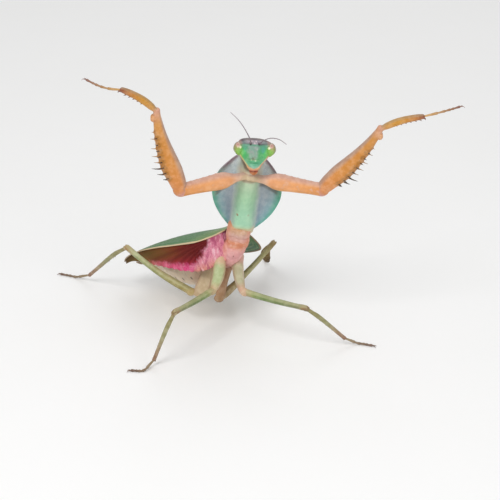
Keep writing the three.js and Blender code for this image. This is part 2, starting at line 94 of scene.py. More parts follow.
body_forward = direction(BODY["heading"], BODY["pitch"])
body_right = turned(direction(BODY["heading"] - 90, 0), body_forward, -BODY["roll"])
body_back = np.cross(body_right, body_forward)
body = Frame(BODY["centre"], body_forward, body_right, body_back)

pro_up = direction(PROTHORAX["heading"], PROTHORAX["pitch"])
pro_belly = square_to(direction(0, 0), pro_up)
pro_left = np.cross(pro_up, pro_belly)
pro = Frame(body(*PROTHORAX["base"]), pro_up, pro_left, -pro_belly)

face = direction(0, HEAD["pitch"])
head_up = turned(direction(0, HEAD["pitch"] + 90), face, -HEAD["roll"])
head_left = np.cross(head_up, face)
head = Frame(pro(*HEAD["place"]), head_left, face, head_up)

eye_low, eye_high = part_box("eye_left")
SHIFT = np.array((eye_low + eye_high) / 2) / MM - head(*EYE["place"])


# ---- Curves and tables ----

def hermite(x, y, tangents, where):
    where = np.clip(where, x[0], x[-1])
    k = np.clip(np.searchsorted(x, where, side="right") - 1, 0, len(x) - 2)
    width = x[k + 1] - x[k]
    t = ((where - x[k]) / width)[..., None]
    width = width[..., None]
    return (
        (2 * t**3 - 3 * t**2 + 1) * y[k] + (t**3 - 2 * t**2 + t) * width * tangents[k]
        + (3 * t**2 - 2 * t**3) * y[k + 1] + (t**3 - t**2) * width * tangents[k + 1]
    )


def smooth_table(rows, where):
    """Smooth reading, without overshoot, of rows [position, values...]."""
    rows = np.array(rows, float)
    x, y = rows[:, 0], rows[:, 1:]
    slope = np.diff(y, axis=0) / np.diff(x)[:, None]
    product = slope[:-1] * slope[1:]
    total = slope[:-1] + slope[1:]
    middle = np.where(product > 0, 2 * product / np.where(total == 0, 1, total), 0)
    return hermite(x, y, np.vstack([slope[:1], middle, slope[-1:]]), np.asarray(where, float))


def spline(points, count):
    """A smooth curve through points, as evenly spread points."""
    points = np.array(points, float)
    x = np.concatenate([[0], np.cumsum(np.linalg.norm(np.diff(points, axis=0), axis=1))])
    tangents = np.gradient(points, x, axis=0)
    return hermite(x, points, tangents, np.linspace(0, x[-1], count))


def ease(value, low, high):
    """0 below low, 1 above high, and smooth between (low may be the larger)."""
    t = np.clip((value - low) / (high - low), 0, 1)
    return t * t * (3 - 2 * t)


def bump(value, centre, width):
    """1 at the centre, falling away on both sides."""
    return np.exp(-(((value - centre) / width) ** 2))


# ---- Meshes ----

class Shape:
    """Closed shells collected into one mesh, with painting coordinates at every vertex."""

    def __init__(self):
        self.points, self.local, self.stain, self.faces, self.slots = [], [], [], [], []
        self.count = 0

    def loft(self, rings, local, material=0, stain=0.0):
        """Adds a shell through rings of points (n, m, 3), its ends closed by fans."""
        rings = np.asarray(rings, float)
        n, m = rings.shape[:2]
        index = np.arange(n * m).reshape(n, m)
        after = np.roll(index, -1, axis=1)
        quads = np.stack([index[:-1], after[:-1], after[1:], index[1:]], axis=-1).reshape(-1, 4)
        first, last = n * m, n * m + 1
        start = np.stack([np.full(m, first), after[0], index[0]], axis=-1)
        end = np.stack([np.full(m, last), index[-1], after[-1]], axis=-1)
        points = np.vstack([rings.reshape(-1, 3), rings[0].mean(0), rings[-1].mean(0)])
        corners = points - points.mean(0)
        halves = [quads[:, [0, 1, 2]], quads[:, [0, 2, 3]], start, end]
        volume = sum(
            np.sum(corners[t[:, 0]] * np.cross(corners[t[:, 1]], corners[t[:, 2]])) for t in halves
        )
        faces = [*quads.tolist(), *start.tolist(), *end.tolist()]
        if volume < 0:
            faces = [f[::-1] for f in faces]
        local = np.broadcast_to(local, rings.shape)
        stain = np.broadcast_to(stain, rings.shape[:2])
        self.points.append(points)
        self.local.append(np.vstack([local.reshape(-1, 3), local[0].mean(0), local[-1].mean(0)]))
        self.stain.append(np.concatenate([stain.ravel(), [stain[0].mean(), stain[-1].mean()]]))
        self.faces += [[v + self.count for v in f] for f in faces]
        self.slots += [material] * len(faces)
        self.count += len(points)
        return self

    def build(self, name, materials, slot, nodes):
        """Makes the piece, on the frame's one body, standing for the CAD nodes."""
        mesh = bpy.data.meshes.new(name)
        points = (np.vstack(self.points) + SHIFT) * MM
        mesh.from_pydata(points.tolist(), [], self.faces)
        mesh.attributes.new("local", "FLOAT_VECTOR", "POINT").data.foreach_set(
            "vector", np.vstack(self.local).ravel())
        mesh.attributes.new("stain", "FLOAT", "POINT").data.foreach_set(
            "value", np.concatenate(self.stain))
        for material in materials:
            mesh.materials.append(material)
        mesh.polygons.foreach_set("material_index", self.slots)
        mesh.polygons.foreach_set("use_smooth", [True] * len(self.faces))
        mesh.update()
        piece = bpy.data.objects.new(name, mesh)
        bpy.context.scene.collection.objects.link(piece)
        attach(piece, "root")
        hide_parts(*nodes)
        return piece


def around(sides):
    """The angles of the points of a ring."""
    return 2 * np.pi * (np.arange(sides) + 0.5) / sides


def ring_map(first, sides, scale=1.0):
    """Painting coordinates of rings: first along them, and a circle of scale across."""
    angle = around(sides)
    return np.stack(np.broadcast_arrays(
        first[:, None], scale * np.cos(angle), scale * np.sin(angle)), axis=-1)


def rings_at(centres, wide, wide_radius, thin, thin_radius, sides):
    """Oval rings (n, sides, 3), from arrays over n stations."""
    angle = around(sides)
    wide, thin = (np.broadcast_to(v, centres.shape) for v in (wide, thin))
    return (
        centres[:, None] + wide[:, None] * (wide_radius[:, None] * np.cos(angle))[..., None]
        + thin[:, None] * (thin_radius[:, None] * np.sin(angle))[..., None])


def limb_part(start, end, towards, rows, bow=0.0, sides=40, steps=70, caps=(0.9, 0.9)):
    """A rounded limb segment from rows [share, half one way, half the other, shift].
    local is (share of the length, towards the wide way, towards the thin way)."""
    axis, length = unit(end - start), np.linalg.norm(end - start)
    wide = square_to(towards, axis)
    thin = np.cross(axis, wide)
    bend = np.radians(np.linspace(82, 8, 9))
    share = np.concatenate([np.zeros(9), np.linspace(0, 1, steps), np.ones(9)])
    radii = smooth_table(rows, share)
    cap = np.concatenate([-np.sin(bend) * caps[0], np.zeros(steps), np.sin(bend[::-1]) * caps[1]])
    shrink = np.concatenate([np.cos(bend), np.ones(steps), np.cos(bend[::-1])])
    along = length * share + cap * radii[:, 1]
    aside = bow * np.sin(np.pi * share) + (radii[:, 2] if radii.shape[1] > 2 else 0)
    centres = start + axis * along[:, None] + wide * aside[:, None]
    rings = rings_at(centres, wide, radii[:, 0] * shrink, thin, radii[:, 1] * shrink, sides)
    return rings, ring_map(along / length, sides)


def tube(path, radius, sides=10, flat=1.0, up=(0, 0, 1)):
    """Rings round a path (n, 3); radius is one number for each point."""
    along = unit(np.gradient(path, axis=0))
    up = np.asarray(up, float)
    wide = np.where(np.abs(along @ up)[:, None] > 0.95, np.array([1.0, 0.1, 0]), up)
    wide = square_to(wide, along)
    rings = rings_at(path, np.cross(along, wide), radius, wide, radius * flat, sides)
    return rings, ring_map(np.linspace(0, 1, len(path)), sides)


def blob(centre, axes, radii, sides=28, steps=18):
    """An ellipsoid's rings; axes are three unit vectors, the first its pole."""
    turn = np.radians(np.linspace(-86, 86, steps))
    centres = centre + axes[0] * (np.sin(turn) * radii[0])[:, None]
    rings = rings_at(
        centres, axes[1], np.cos(turn) * radii[1], axes[2], np.cos(turn) * radii[2], sides)
    return rings, ring_map(np.sin(turn), sides, np.cos(turn)[:, None])


def swollen(rings, share):
    """Every point moved out from the middle of its ring by a share of the way."""
    middle = rings.mean(axis=1, keepdims=True)
    return middle + (rings - middle) * (1 + share[..., None])


def pinned(local, x, y=0):
    """Painting coordinates with the first held at x, and the second moved by y."""
    return local * (0, 1, 1) + (x, y, 0)


# ---- Materials ----

def colour(code):
    """Linear colour of a hex sRGB code."""
    parts = [int(code[i:i + 2], 16) / 255 for i in (0, 2, 4)]
    return (*[p / 12.92 if p <= 0.04045 else ((p + 0.055) / 1.055) ** 2.4 for p in parts], 1.0)


class Value:
    """A node's output, which takes part in sums as a number does."""

    def __init__(self, paint, socket):
        self.paint, self.socket = paint, socket

    def __add__(self, other):
        return self.paint.math("ADD", self, other)

    def __sub__(self, other):
        return self.paint.math("SUBTRACT", self, other)

    def __rsub__(self, other):
        return self.paint.math("SUBTRACT", other, self)

    def __mul__(self, other):
        return self.paint.math("MULTIPLY", self, other)

    def __truediv__(self, other):
        return self.paint.math("DIVIDE", self, other)

    def __abs__(self):
        return self.paint.math("ABSOLUTE", self)


class Paint:
    """The nodes of one material. x, y and z are the painting coordinates of the mesh, place
    is the place in mm, and tint is the colour so far."""

    def __init__(self, name):
        self.material = bpy.data.materials.new(name)
        self.material.use_nodes = True
        self.tree = self.material.node_tree
        self.tree.nodes.clear()
        place = self.add("ShaderNodeTexCoord", output="Object")
        self.place = self.add(
            "ShaderNodeVectorMath", {0: place, "Scale": 1 / MM}, operation="SCALE")
        local = self.add("ShaderNodeAttribute", output="Vector", attribute_name="local")
        self.x, self.y, self.z = (
            self.add("ShaderNodeSeparateXYZ", {0: local}, axis) for axis in "XYZ")
        self.stain = self.add("ShaderNodeAttribute", output="Fac", attribute_name="stain")

    def add(self, kind, inputs=None, output=0, **settings):
        """A new node's output; an input is a number, a vector, a colour or a Value."""
        node = self.tree.nodes.new(kind)
        for key, value in settings.items():
            setattr(node, key, value)
        for key, value in (inputs or {}).items():
            if isinstance(value, Value):
                self.tree.links.new(value.socket, node.inputs[key])
            else:
                node.inputs[key].default_value = value
        return Value(self, node.outputs[output]) if node.outputs else None

    def math(self, operation, a, b=0.0):
        return self.add("ShaderNodeMath", {0: a, 1: b}, operation=operation)

    def ease(self, value, low, high, top=1.0, bottom=0.0):
        """bottom below low, top above high, and smooth between (low may be the larger)."""
        return self.add("ShaderNodeMapRange", {
            "Value": value, "From Min": low, "From Max": high, "To Min": bottom, "To Max": top,
        }, interpolation_type="SMOOTHSTEP")

    def band(self, value, centre, half, soft):
        """1 within half of centre, falling to 0 over soft."""
        return self.ease(abs(value - centre), half + soft, half)

    def spot(self, a, b, middle, radii, soft):
        """A round mark over two coordinates: 1 inside it, falling to 0 over soft of its radii."""
        a, b = ((v - centre) / radius for v, centre, radius in zip((a, b), middle, radii))
        away = self.add("ShaderNodeCombineXYZ", {0: a, 1: b})
        away = self.add("ShaderNodeVectorMath", {0: away}, "Value", operation="LENGTH")
        return self.ease(away, 1 + soft, 1)

    def ramp(self, value, stops):
        """A colour for each value, from stops "value colour, value colour, ..."."""
        stops = [(float(at), code) for at, code in map(str.split, stops.split(","))]
        low, high = stops[0][0], stops[-1][0]
        share = self.add("ShaderNodeMapRange", {"Value": value, "From Min": low, "From Max": high})
        shade = self.add("ShaderNodeValToRGB", {0: share})
        elements = shade.socket.node.color_ramp.elements
        for i, (at, code) in enumerate(stops):
            at = (at - low) / (high - low)
            element = elements[i] if i < 2 else elements.new(at)
            element.position = at
            element.color = colour(code)
        return shade

    def mix(self, factor, a, b):
        a, b = (colour(v) if isinstance(v, str) else v for v in (a, b))
        return self.add("ShaderNodeMix", {0: factor, 6: a, 7: b}, 2, data_type="RGBA")

    def coat(self, factor, tint):
        """Lays another colour over the tint."""
        self.tint = self.mix(factor, self.tint, tint)

    def stretched(self, stretch):
        if stretch is None:
            return self.place
        return self.add("ShaderNodeVectorMath", {0: self.place, 1: stretch}, operation="MULTIPLY")

    def noise(self, size, detail=3.0, stretch=None):
        """Cloudy noise, from 0 to 1, whose features are about size mm across."""
        return self.add("ShaderNodeTexNoise", {
            "Vector": self.stretched(stretch), "Scale": 1 / size, "Detail": detail,
            "Roughness": 0.55}, "Fac")

    def blur(self, value, amount, size, detail=3.0):
        """The value, unsettled by cloudy noise."""
        return value + (self.noise(size, detail) - 0.5) * amount

    def cells(self, size, stretch=None, feature="DISTANCE_TO_EDGE"):
        return self.add("ShaderNodeTexVoronoi", {
            "Vector": self.stretched(stretch), "Scale": 1 / size}, "Distance", feature=feature)

    def finish(self, roughness, height, depth, strength=0.6, **constants):
        """height, from 0 to 1, stands for depth mm of relief."""
        relief = self.add("ShaderNodeBump", {
            "Strength": strength, "Distance": depth * MM, "Height": height})
        shader = self.add("ShaderNodeBsdfPrincipled", {
            "Base Color": self.tint, "Roughness": roughness, "Normal": relief, **constants})
        self.add("ShaderNodeOutputMaterial", {0: shader})
        return self.material

    def cuticle(self, grain, mottle, roughness, depth, **constants):
        """Insect cuticle: slight mottling, fine pitted grain, and a satin sheen."""
        cloud = self.noise(1.6, 4.0)
        self.coat(self.ease(cloud, 0.35, 0.75, mottle), "6f5a48")
        self.coat(self.ease(cloud, 0.6, 0.3, mottle), "fff4dc")
        height = self.ease(self.cells(grain), 0.0, 0.3, 0.6) + self.noise(grain * 0.5, 2.0) * 0.4
        shine = self.ease(self.noise(0.9, 2.0), 0.3, 0.7, roughness + 0.08, roughness - 0.06)
        return self.finish(shine, height, depth, **constants)


# ---- Camera, floor and light ----

LOOK_DOWN = 25  # degrees
DISTANCE = 450  # mm, to the point aimed at
AIM = SHIFT + UP * 24  # the point that the camera is aimed at
LIT = AIM + UP * 15  # the point that the lights are aimed at

camera = bpy.data.objects.new("camera", bpy.data.cameras.new("camera"))
camera.data.sensor_width = 36
camera.data.lens = 110.16
camera.data.clip_start = 0.01
camera.data.clip_end = 20
camera.location = (AIM + direction(0, LOOK_DOWN) * DISTANCE) * MM
camera.rotation_euler = (math.radians(90 - LOOK_DOWN), 0, 0)
bpy.context.scene.collection.objects.link(camera)
bpy.context.scene.camera = camera
bpy.context.scene.view_settings.view_transform = "Standard"


def make_floor():
    """A pale disc, far wider than the view; its radius is in metres."""
    sides, radius = 64, 3.0
    mesh = bpy.data.meshes.new("floor")
    turns = np.linspace(0, 2 * np.pi, sides, endpoint=False)
    corners = [(radius * math.cos(t), radius * math.sin(t), 0) for t in turns]
    mesh.from_pydata(corners, [], [list(range(sides))])
    p = Paint("floor_paint")
    p.tint = p.mix(p.noise(40), "fdfdfc", "ffffff")
    mesh.materials.append(p.finish(0.8, p.noise(1.5, 2.0), 0.02, 0.15))
    floor = bpy.data.objects.new("floor", mesh)
    bpy.context.scene.collection.objects.link(floor)


def make_light(name, heading, pitch, distance, size, watts):
    """A soft round light aimed at the animal; its distance and size are in metres."""
    lamp = bpy.data.lights.new(name, "AREA")
    lamp.shape = "DISK"
    lamp.size = size
    lamp.energy = watts
    light = bpy.data.objects.new(name, lamp)
    light.location = LIT * MM + direction(heading, pitch) * distance
    light.rotation_euler = (math.radians(90 - pitch), 0, math.radians(heading))
    bpy.context.scene.collection.objects.link(light)


make_floor()
make_light("key", -25, 50, 0.7, 0.3, 1.9)
make_light("fill", 40, 25, 0.8, 0.5, 0.8)
make_light("back", 170, 50, 0.8, 0.5, 0.7)
world = bpy.data.worlds.new("studio")
world.use_nodes = True
sky = world.node_tree.nodes["Background"].inputs
sky["Color"].default_value = (1, 1, 1, 1)
sky["Strength"].default_value = 0.55
bpy.context.scene.world = world


# ---- Neck shield and prothorax ----

SHIELD = {"start": 1.2, "end": 28.6, "half": 10, "height": 2.9}
# Depth of the prothorax below its axis: [u, depth, half width].
COLUMN = [
    [1.2, 0.3, 3.0], [3.0, 1.4, 3.3], [4.3, 2.3, 3.5], [6, 2.4, 3.4], [14, 2.35, 3.5],
    [20, 2.5, 4.0], [23, 2.3, 3.8], [25.5, 1.7, 3.0], [27.2, 0.4, 2.6], [28.6, -1.5, 2.4],
]


def shield_half(share):
    """Half width of the shield's outline, from its lower edge to the head."""
    oval = SHIELD["half"] * np.sin(np.pi * share) ** (0.55 + 0.35 * share)
    return np.sqrt(oval**2 + (3.2 * np.exp(-((share / 0.05) ** 2))) ** 2)


def shield_rings(steps=150, sides=176):
    bend = np.linspace(0, 1, steps)
    share = (0.002 + 0.985 * (bend - 0.04 * np.sin(2 * np.pi * bend)))[:, None]
    angle = around(sides)
    upper, edge = np.sin(angle) > 0, np.abs(np.sin(angle))
    outline = shield_half(share)
    left = outline * np.cos(angle)
    u = np.broadcast_to(SHIELD["start"] + (SHIELD["end"] - SHIELD["start"]) * share, left.shape)
    middle = (SHIELD["height"] + 0.5 * bump(left, 0, 1.6)
              - 0.012 * left**2 - 0.5 * np.cos(np.pi * share) ** 2
              + 0.12 * np.sin(u * 0.9 + left * 0.5) * ease(np.abs(left), 4, 9))
    depth, half = np.moveaxis(smooth_table(COLUMN, u), -1, 0)
    across = np.abs(left) / half
    low = ease(u, 11, 5)
    swell = np.exp(-((across / (0.88 + 0.1 * low)) ** (3.0 + 3.0 * low)))
    # The raised plate between the front coxae, its lower edge an arch.
    arch = 20.6 - 0.09 * left**2
    collar = 0.45 * ease(u, arch - 0.25, arch + 0.5) * ease(u, 26.5, 23) * ease(across, 1.5, 0.6)
    ridge = 0.12 * bump(left, 0, 0.5) * ease(u, 6, 9) * ease(u, 19, 16)
    # The plate is 1 mm thick, with a rounded rim; the column hangs below it.
    top, under = middle + 0.3, middle - 0.7 + 0.25 * edge
    swell = swell * np.minimum(1, edge * 4) ** 0.7
    bottom = under + np.minimum(-depth - collar - ridge - under, 0) * swell
    centre = (top + under) / 2
    face_at = centre + (np.where(upper, top, under) - centre) * np.minimum(1, edge * 5) ** 0.5
    height = np.where(upper | (bottom >= under - 1e-3), face_at, bottom)
    # local: (u, left, height); stain: share of the way to the rim.
    stain = np.abs(left) / np.maximum(outline, 0.5)
    return pro(u, left, height), np.stack([u, left, height], axis=-1), stain


def shield_paint():
    p = Paint("shield_cuticle")
    u, left, width = p.x, p.y, abs(p.y)
    blur = p.blur(width, 1.2, 2.5)
    rim = p.blur(p.stain, 0.12, 3)
    # The side's colours lighten towards the head: painted light against the shade that falls there.
    side = p.ramp(u, "1 7898b0, 6 8a9fb0, 14 a2aeb8, 18.5 b4c0c8, 22 ccdce0, 28 d4d4d8")
    side = p.mix((1.0 - p.ease(p.cells(0.42), 0.02, 0.22)) * 0.35, side, "6f8a98")
    blue = p.mix(p.ease(u, 20, 9), side, "7fb0b4")
    side = p.mix(p.ease(rim, 0.55, 0.8, 0.55), side, blue)
    side = p.mix(p.ease(rim, 0.74, 0.97), side, p.ramp(
        u, "1 62a8a4, 9 58a894, 16 50a284, 19.5 72988e, 22.5 8c7a84, 28 967c86"))
    # A pale band beside the column: painted light that evens out the shade of the groove there.
    side = p.mix(p.band(blur, 3.0, 0.3, 1.0) * 0.7, side, "c4d0c8")
    p.tint = p.mix(p.ease(blur, 3.9, 2.1), side, p.ramp(
        u, "2 c4cca0, 4.2 b4d0a8, 5.5 a0d2b0, 9 9ccfac, 14 9ccca2, 19 b4cdac, 20.6 ccb898,"
           "22.5 ccbca0, 23.6 b0b49c, 25 a8b4a8, 28 a8b0b0"))
    p.coat(p.spot(u, left, (8.4, -1.9), (0.22, 0.22), 0.9) * 0.8, "8a5c30")
    p.coat(p.spot(u, left, (8.8, 1.25), (0.2, 0.2), 1.0) * 0.35, "8a6c38")
    lip = p.ease(u, 4.7, 3.7) * p.ease(blur, 4.2, 3.0) * p.ease(p.z, 2.6, 2.0)
    p.coat(lip * 0.6, "d8b888")
    # Painted shade along the fold under the front coxae, painted shadow under the coxae, and
    # painted shadow round the head.
    fold = u + p.math("MAXIMUM", width - 2.6, 0.0) * 0.6
    p.coat(p.band(fold, 19.9, 0.15, 0.7) * p.ease(width, 3.6, 2.8) * 0.5, "94705a")
    slope = 0.7 - p.math("SIGN", left) * 0.25
    shade = p.band(u + (width - 3.5) * slope, 17.9, 0.5, 1.0)
    p.coat(shade * p.ease(width, 2.8, 3.8) * p.ease(width, 9.6, 8.2) * 0.65, "4c4434")
    behind = p.ease(width - (u - 24.0) * 0.8, 2.5, 1.5)
    p.coat(behind * p.ease(u, 22.6, 23.8) * 0.85, "6a5238")
    back = p.mix(p.ease(rim, 0.5, 0.95), "4f9a5e", "6fb488")
    back = p.mix(p.ease(width, 1.2, 0.3, 0.5), back, "88b070")
    back = p.mix(1.0 - p.ease(p.cells(1.5, (1.0, 1.0, 0.4)), 0.02, 0.08), back, "3f8450")
    p.coat(p.ease(p.z, 2.75, 2.95), back)
    return p.cuticle(0.3, 0.1, 0.42, 0.05)


points, local, stain = shield_rings()
Shape().loft(points, local, 0, stain).build(
    "shield", [shield_paint()], "shield_cuticle", ["prothorax", "pronotum_shield"])


# ---- Trunk: one skin from under the neck shield to the tail ----

# Upper rings, up the prothorax: [u, left, height, half width, half depth].
NECK_RINGS = [
    [8.0, -0.2, 1.4, 1.5, 0.7], [6.4, -0.4, 1.4, 1.8, 0.8], [5.2, -0.6, 1.1, 2.6, 1.2],
    [4.3, -0.7, 0.5, 3.3, 1.9], [3.0, -0.75, 0.1, 3.5, 2.35], [1.4, -0.8, 0, 3.5, 2.4],
    [0, -0.85, 0.1, 3.5, 2.4],
]
# Rings of the trunk: [forward, right, height, half width, half depth, share of the bend].
TRUNK_RINGS = [
    [4.9, 1.55, 1.3, 3.4, 2.5, 0.15], [3.9, 1.25, 0.5, 3.4, 2.9, 0.42],
    [2.4, 0.7, -0.2, 3.65, 3.7, 0.75], [0.6, 0.25, -0.7, 3.85, 4.5, 0.95],
    [-1.2, 0.1, -0.9, 4.1, 4.8, 1], [-3.2, 0, -0.9, 4.3, 4.8, 1],
    [-6.9, 0, -1.2, 4.5, 5.0, 1], [-10.3, 0, -2.2, 5.2, 5.8, 1],
]
# Abdomen: [forward, height, half width, half depth].
ABDOMEN_RINGS = [
    [-14, -2.8, 6.2, 6.5], [-18, -2.7, 6.7, 6.2], [-22, -2.3, 6.6, 5.4], [-26, -1.7, 6.0, 4.3],
    [-30, -1.2, 5.0, 3.2], [-34, -0.8, 3.7, 2.2], [-37, -0.5, 2.4, 1.4], [-39, -0.3, 1.1, 0.7],
]
ABDOMEN = {"front": -11, "rear": -39, "segments": 8}
RING_LENGTH = (ABDOMEN["front"] - ABDOMEN["rear"]) / ABDOMEN["segments"]
# Middle line of a tail feeler: (forward, out, height).
CERCUS = ((-37, 0.8, -0.4), (-38.6, 1.5, -0.7), (-39.8, 2.0, -0.7), (-40.8, 2.3, -0.5),
          (-41.7, 2.5, -0.2))


def trunk_stations():
    """Centre, leftward axis, belly axis, half width, half depth and forward place of each ring."""
    stations = []
    for u, left, height, wide, deep in NECK_RINGS:
        stations.append([*pro(u, left, height), *pro_left, *pro_belly, wide, deep, 6 + u])
    for forward, right, height, wide, deep, bend in TRUNK_RINGS:
        leftward = unit(pro_left * (1 - bend) - body_right * bend)
        belly = unit(pro_belly * (1 - bend) - body_back * bend)
        stations.append([*body(forward, right, height), *leftward, *belly, wide, deep, forward])
    for forward, height, wide, deep in ABDOMEN_RINGS:
        stations.append([*body(forward, 0, height), *-body_right, *-body_back, wide, deep, forward])
    return np.array(stations)


def trunk_rings(steps=330, sides=96):
    stations = trunk_stations()
    gaps = np.linalg.norm(np.diff(stations[:, :3], axis=0), axis=1)
    where = np.concatenate([[0], np.cumsum(gaps)])
    rows = smooth_table(np.column_stack([where, stations]), np.linspace(0, where[-1], steps))
    centre, leftward, belly = rows[:, :3], unit(rows[:, 3:6]), unit(rows[:, 6:9])
    wide, deep, forward = rows[:, 9:10], rows[:, 10:11], rows[:, 11:12]
    angle = around(sides)[None]
    c, s = np.cos(angle), np.sin(angle)  # towards the left, towards the belly
    under = ease(s, -0.3, 0.6)
    # Folds of the membranes behind the shield and across the middle thorax.
    folds = 0 * forward * s
    for place, reach, sink in ((9.6, 0.22, 0.16), (8.9, 0.2, 0.12), (6.6, 0.25, 0.2),
                               (5.2, 0.3, 0.3), (4.4, 0.25, 0.22), (2.3, 0.25, 0.12),
                               (-0.8, 0.3, 0.25), (-3.4, 0.35, 0.3), (-7.2, 0.35, 0.25)):
        wave = 0.35 * np.sin(4.4 * c + place) + 0.5 * c**2
        folds -= sink * bump(forward + wave, place, reach) * (0.4 + 0.6 * under)
    folds += 0.05 * np.sin(forward * 9 + 3 * np.sin(2 * c)) * ease(forward, 5.5, 7.5)
    # Plates of the thorax: two low bosses either side of the midline, and a keel between.
    folds += 0.35 * bump(forward, 3.2, 1.1) * bump(np.abs(c), 0.45, 0.3) * under
    folds += 0.3 * bump(forward, -2.0, 1.2) * bump(np.abs(c), 0.5, 0.3) * under
    # Abdomen: each ring's rear edge stands proud of the next, with a fold along each flank.
    ring = (ABDOMEN["front"] - forward) / RING_LENGTH
    phase = ring - np.floor(ring)
    step = 0.22 * (ease(phase, 0.0, 0.85) - ease(phase, 0.9, 1.0)) * ease(ring, 0, 0.3)
    folds += step * ease(forward, -38.6, -36)
    folds -= 0.35 * bump(s, 0.25, 0.12) * ease(forward, -9, -12) * ease(forward, -38.5, -34)
    rings = (
        centre[:, None] + leftward[:, None] * ((wide + folds) * c)[..., None]
        + belly[:, None] * ((deep + folds) * s)[..., None]
    )
    return rings, np.stack(np.broadcast_arrays(forward, c, s), axis=-1)


def trunk_paint():
    p = Paint("thorax_cuticle")
    # Colours along the trunk; the abdomen's creams are painted lighter against the shade it lies
    # in.
    p.tint = p.ramp(
        p.blur(p.x, 0.9, 2),
        "-39 b89878, -35 c4ac90, -27 dac8ac, -14 e2ccb4, -10 e0bca2, -6 dca08c, -1 e09c94,"
        "2.4 eaa6aa, 3.9 e4a09c, 4.5 d48462, 5.1 d4825a, 6 d49a90, 7.4 d0a294, 8.6 cea284,"
        "9.6 ce9668, 10.5 d08e60")
    # Reddish-brown on the belly between the middle and hind coxae: painted shade.
    p.coat(p.band(p.x, -3.4, 2.2, 2.4) * p.ease(p.z, 0.55, 0.9) * 0.8, "9c5c48")
    p.coat(p.ease(abs(p.y), 0.55, 0.9) * p.ease(p.x, 0, 3) * 0.55, "de8868")
    # Pale pinkish-white flecks on the thorax: painted highlights.
    p.coat(p.ease(p.noise(0.9, 4.0), 0.5, 0.72) * p.ease(p.x, -6, -3) * 0.22, "f2dcd8")
    p.coat(p.ease(p.z, 0.1, -0.6) * 0.85, p.ramp(
        p.x, "-39 9a9a60, -12 a8a878, -4 a89070, 4 a88a60"))
    dot = p.spot(p.x, p.y, (2.9, -0.08), (0.1, 0.025), 1.6)
    p.coat(dot * p.ease(p.z, 0.5, 0.9) * 0.8, "8a4a48")
    # One dark dot on each side of every ring of the abdomen, and a tan edge to the ring.
    phase = p.math("FRACT", (ABDOMEN["front"] - p.x) / RING_LENGTH)
    dot = p.band(phase, 0.6, 0.03, 0.06) * p.band(p.z, 0.86, 0.015, 0.05)
    p.coat(dot * p.ease(p.x, -11, -12.5) * p.ease(p.x, -36, -34) * 0.85, "5a4438")
    p.coat(p.band(phase, 0.93, 0.03, 0.06) * p.ease(p.x, -10, -12) * 0.45, "a08060")
    return p.cuticle(0.28, 0.14, 0.45, 0.06)


trunk = Shape().loft(*trunk_rings())
for side in (1, -1):
    path = spline([body(f, side * r, d) for f, r, d in CERCUS], 40)
    beads = 1 + 0.14 * np.sin(np.linspace(0, 9 * 2 * np.pi, 40))
    rings, local = tube(path, np.linspace(0.5, 0.2, 40) * beads, 14)
    trunk.loft(rings, pinned(local, -38))
trunk.build("trunk", [trunk_paint()], "thorax_cuticle",
            ["mesothorax", "metathorax", "abdomen", "cercus_left", "cercus_right"])


# ---- Forelegs ----

# Root in the prothorax frame; then length, heading and pitch of each segment.
FORELEGS = {
    "right": {
        "root": (21.2, -2.3, -2.5), "coxa": (18.2, -68.6, -4.3), "femur": (25.5, -62.2, 74.5),
        "tibia": (12.6, -58.9, 37.9), "tarsus": (12, -119, 5.3), "sag": 0.9,
    },
    "left": {
        "root": (21.2, 2.5, -2.5), "coxa": (18.2, 84.5, -8.4), "femur": (25.2, 79.9, 50.2),
        "tibia": (12.6, 68.5, 23.6), "tarsus": (12, 111.1, 7.1), "sag": 0.15,
    },
}
# Half thicknesses: [share of the length, wide way, thin way, shift the wide way].
COXA_ROWS = [
    [0, 1.1, 1.3, 0], [0.12, 1.1, 1.3, 0], [0.2, 1.2, 1.4, 0], [0.28, 1.75, 1.7, 0],
    [0.36, 2.35, 1.95, 0], [0.44, 2.5, 2.0, 0], [0.56, 2.3, 1.95, 0], [0.74, 2.05, 1.85, 0],
    [0.9, 1.92, 1.7, 0], [1, 1.95, 1.7, 0],
]
COXA_BASE = 2.6  # mm from the middle of the chest to the coxa's joint
FEMUR_ROWS = [
    [0, 1.75, 1.5, 0], [0.06, 2.15, 1.6, -0.15], [0.16, 2.5, 1.7, -0.3], [0.3, 2.8, 1.7, -0.25],
    [0.45, 2.5, 1.6, -0.2], [0.6, 2.05, 1.5, -0.1], [0.8, 1.45, 1.25, 0], [0.93, 1.1, 1.05, 0],
    [1, 0.95, 0.95, -0.2],
]
TIBIA_ROWS = [
    [0, 0.8, 0.75, 0], [0.07, 0.8, 0.75, 0], [0.16, 1.0, 0.85, 0], [0.4, 1.1, 0.9, 0],
    [0.7, 1.0, 0.85, 0], [0.9, 0.9, 0.8, 0], [1, 0.75, 0.65, 0],
]
TIBIA_BOW = -0.7
# The tibia's claw: (past the ankle, towards the grip).
CLAW = ((-1.8, 0.0), (-0.8, 0.35), (-0.1, 0.6), (0.25, 0.95), (0.15, 1.45))
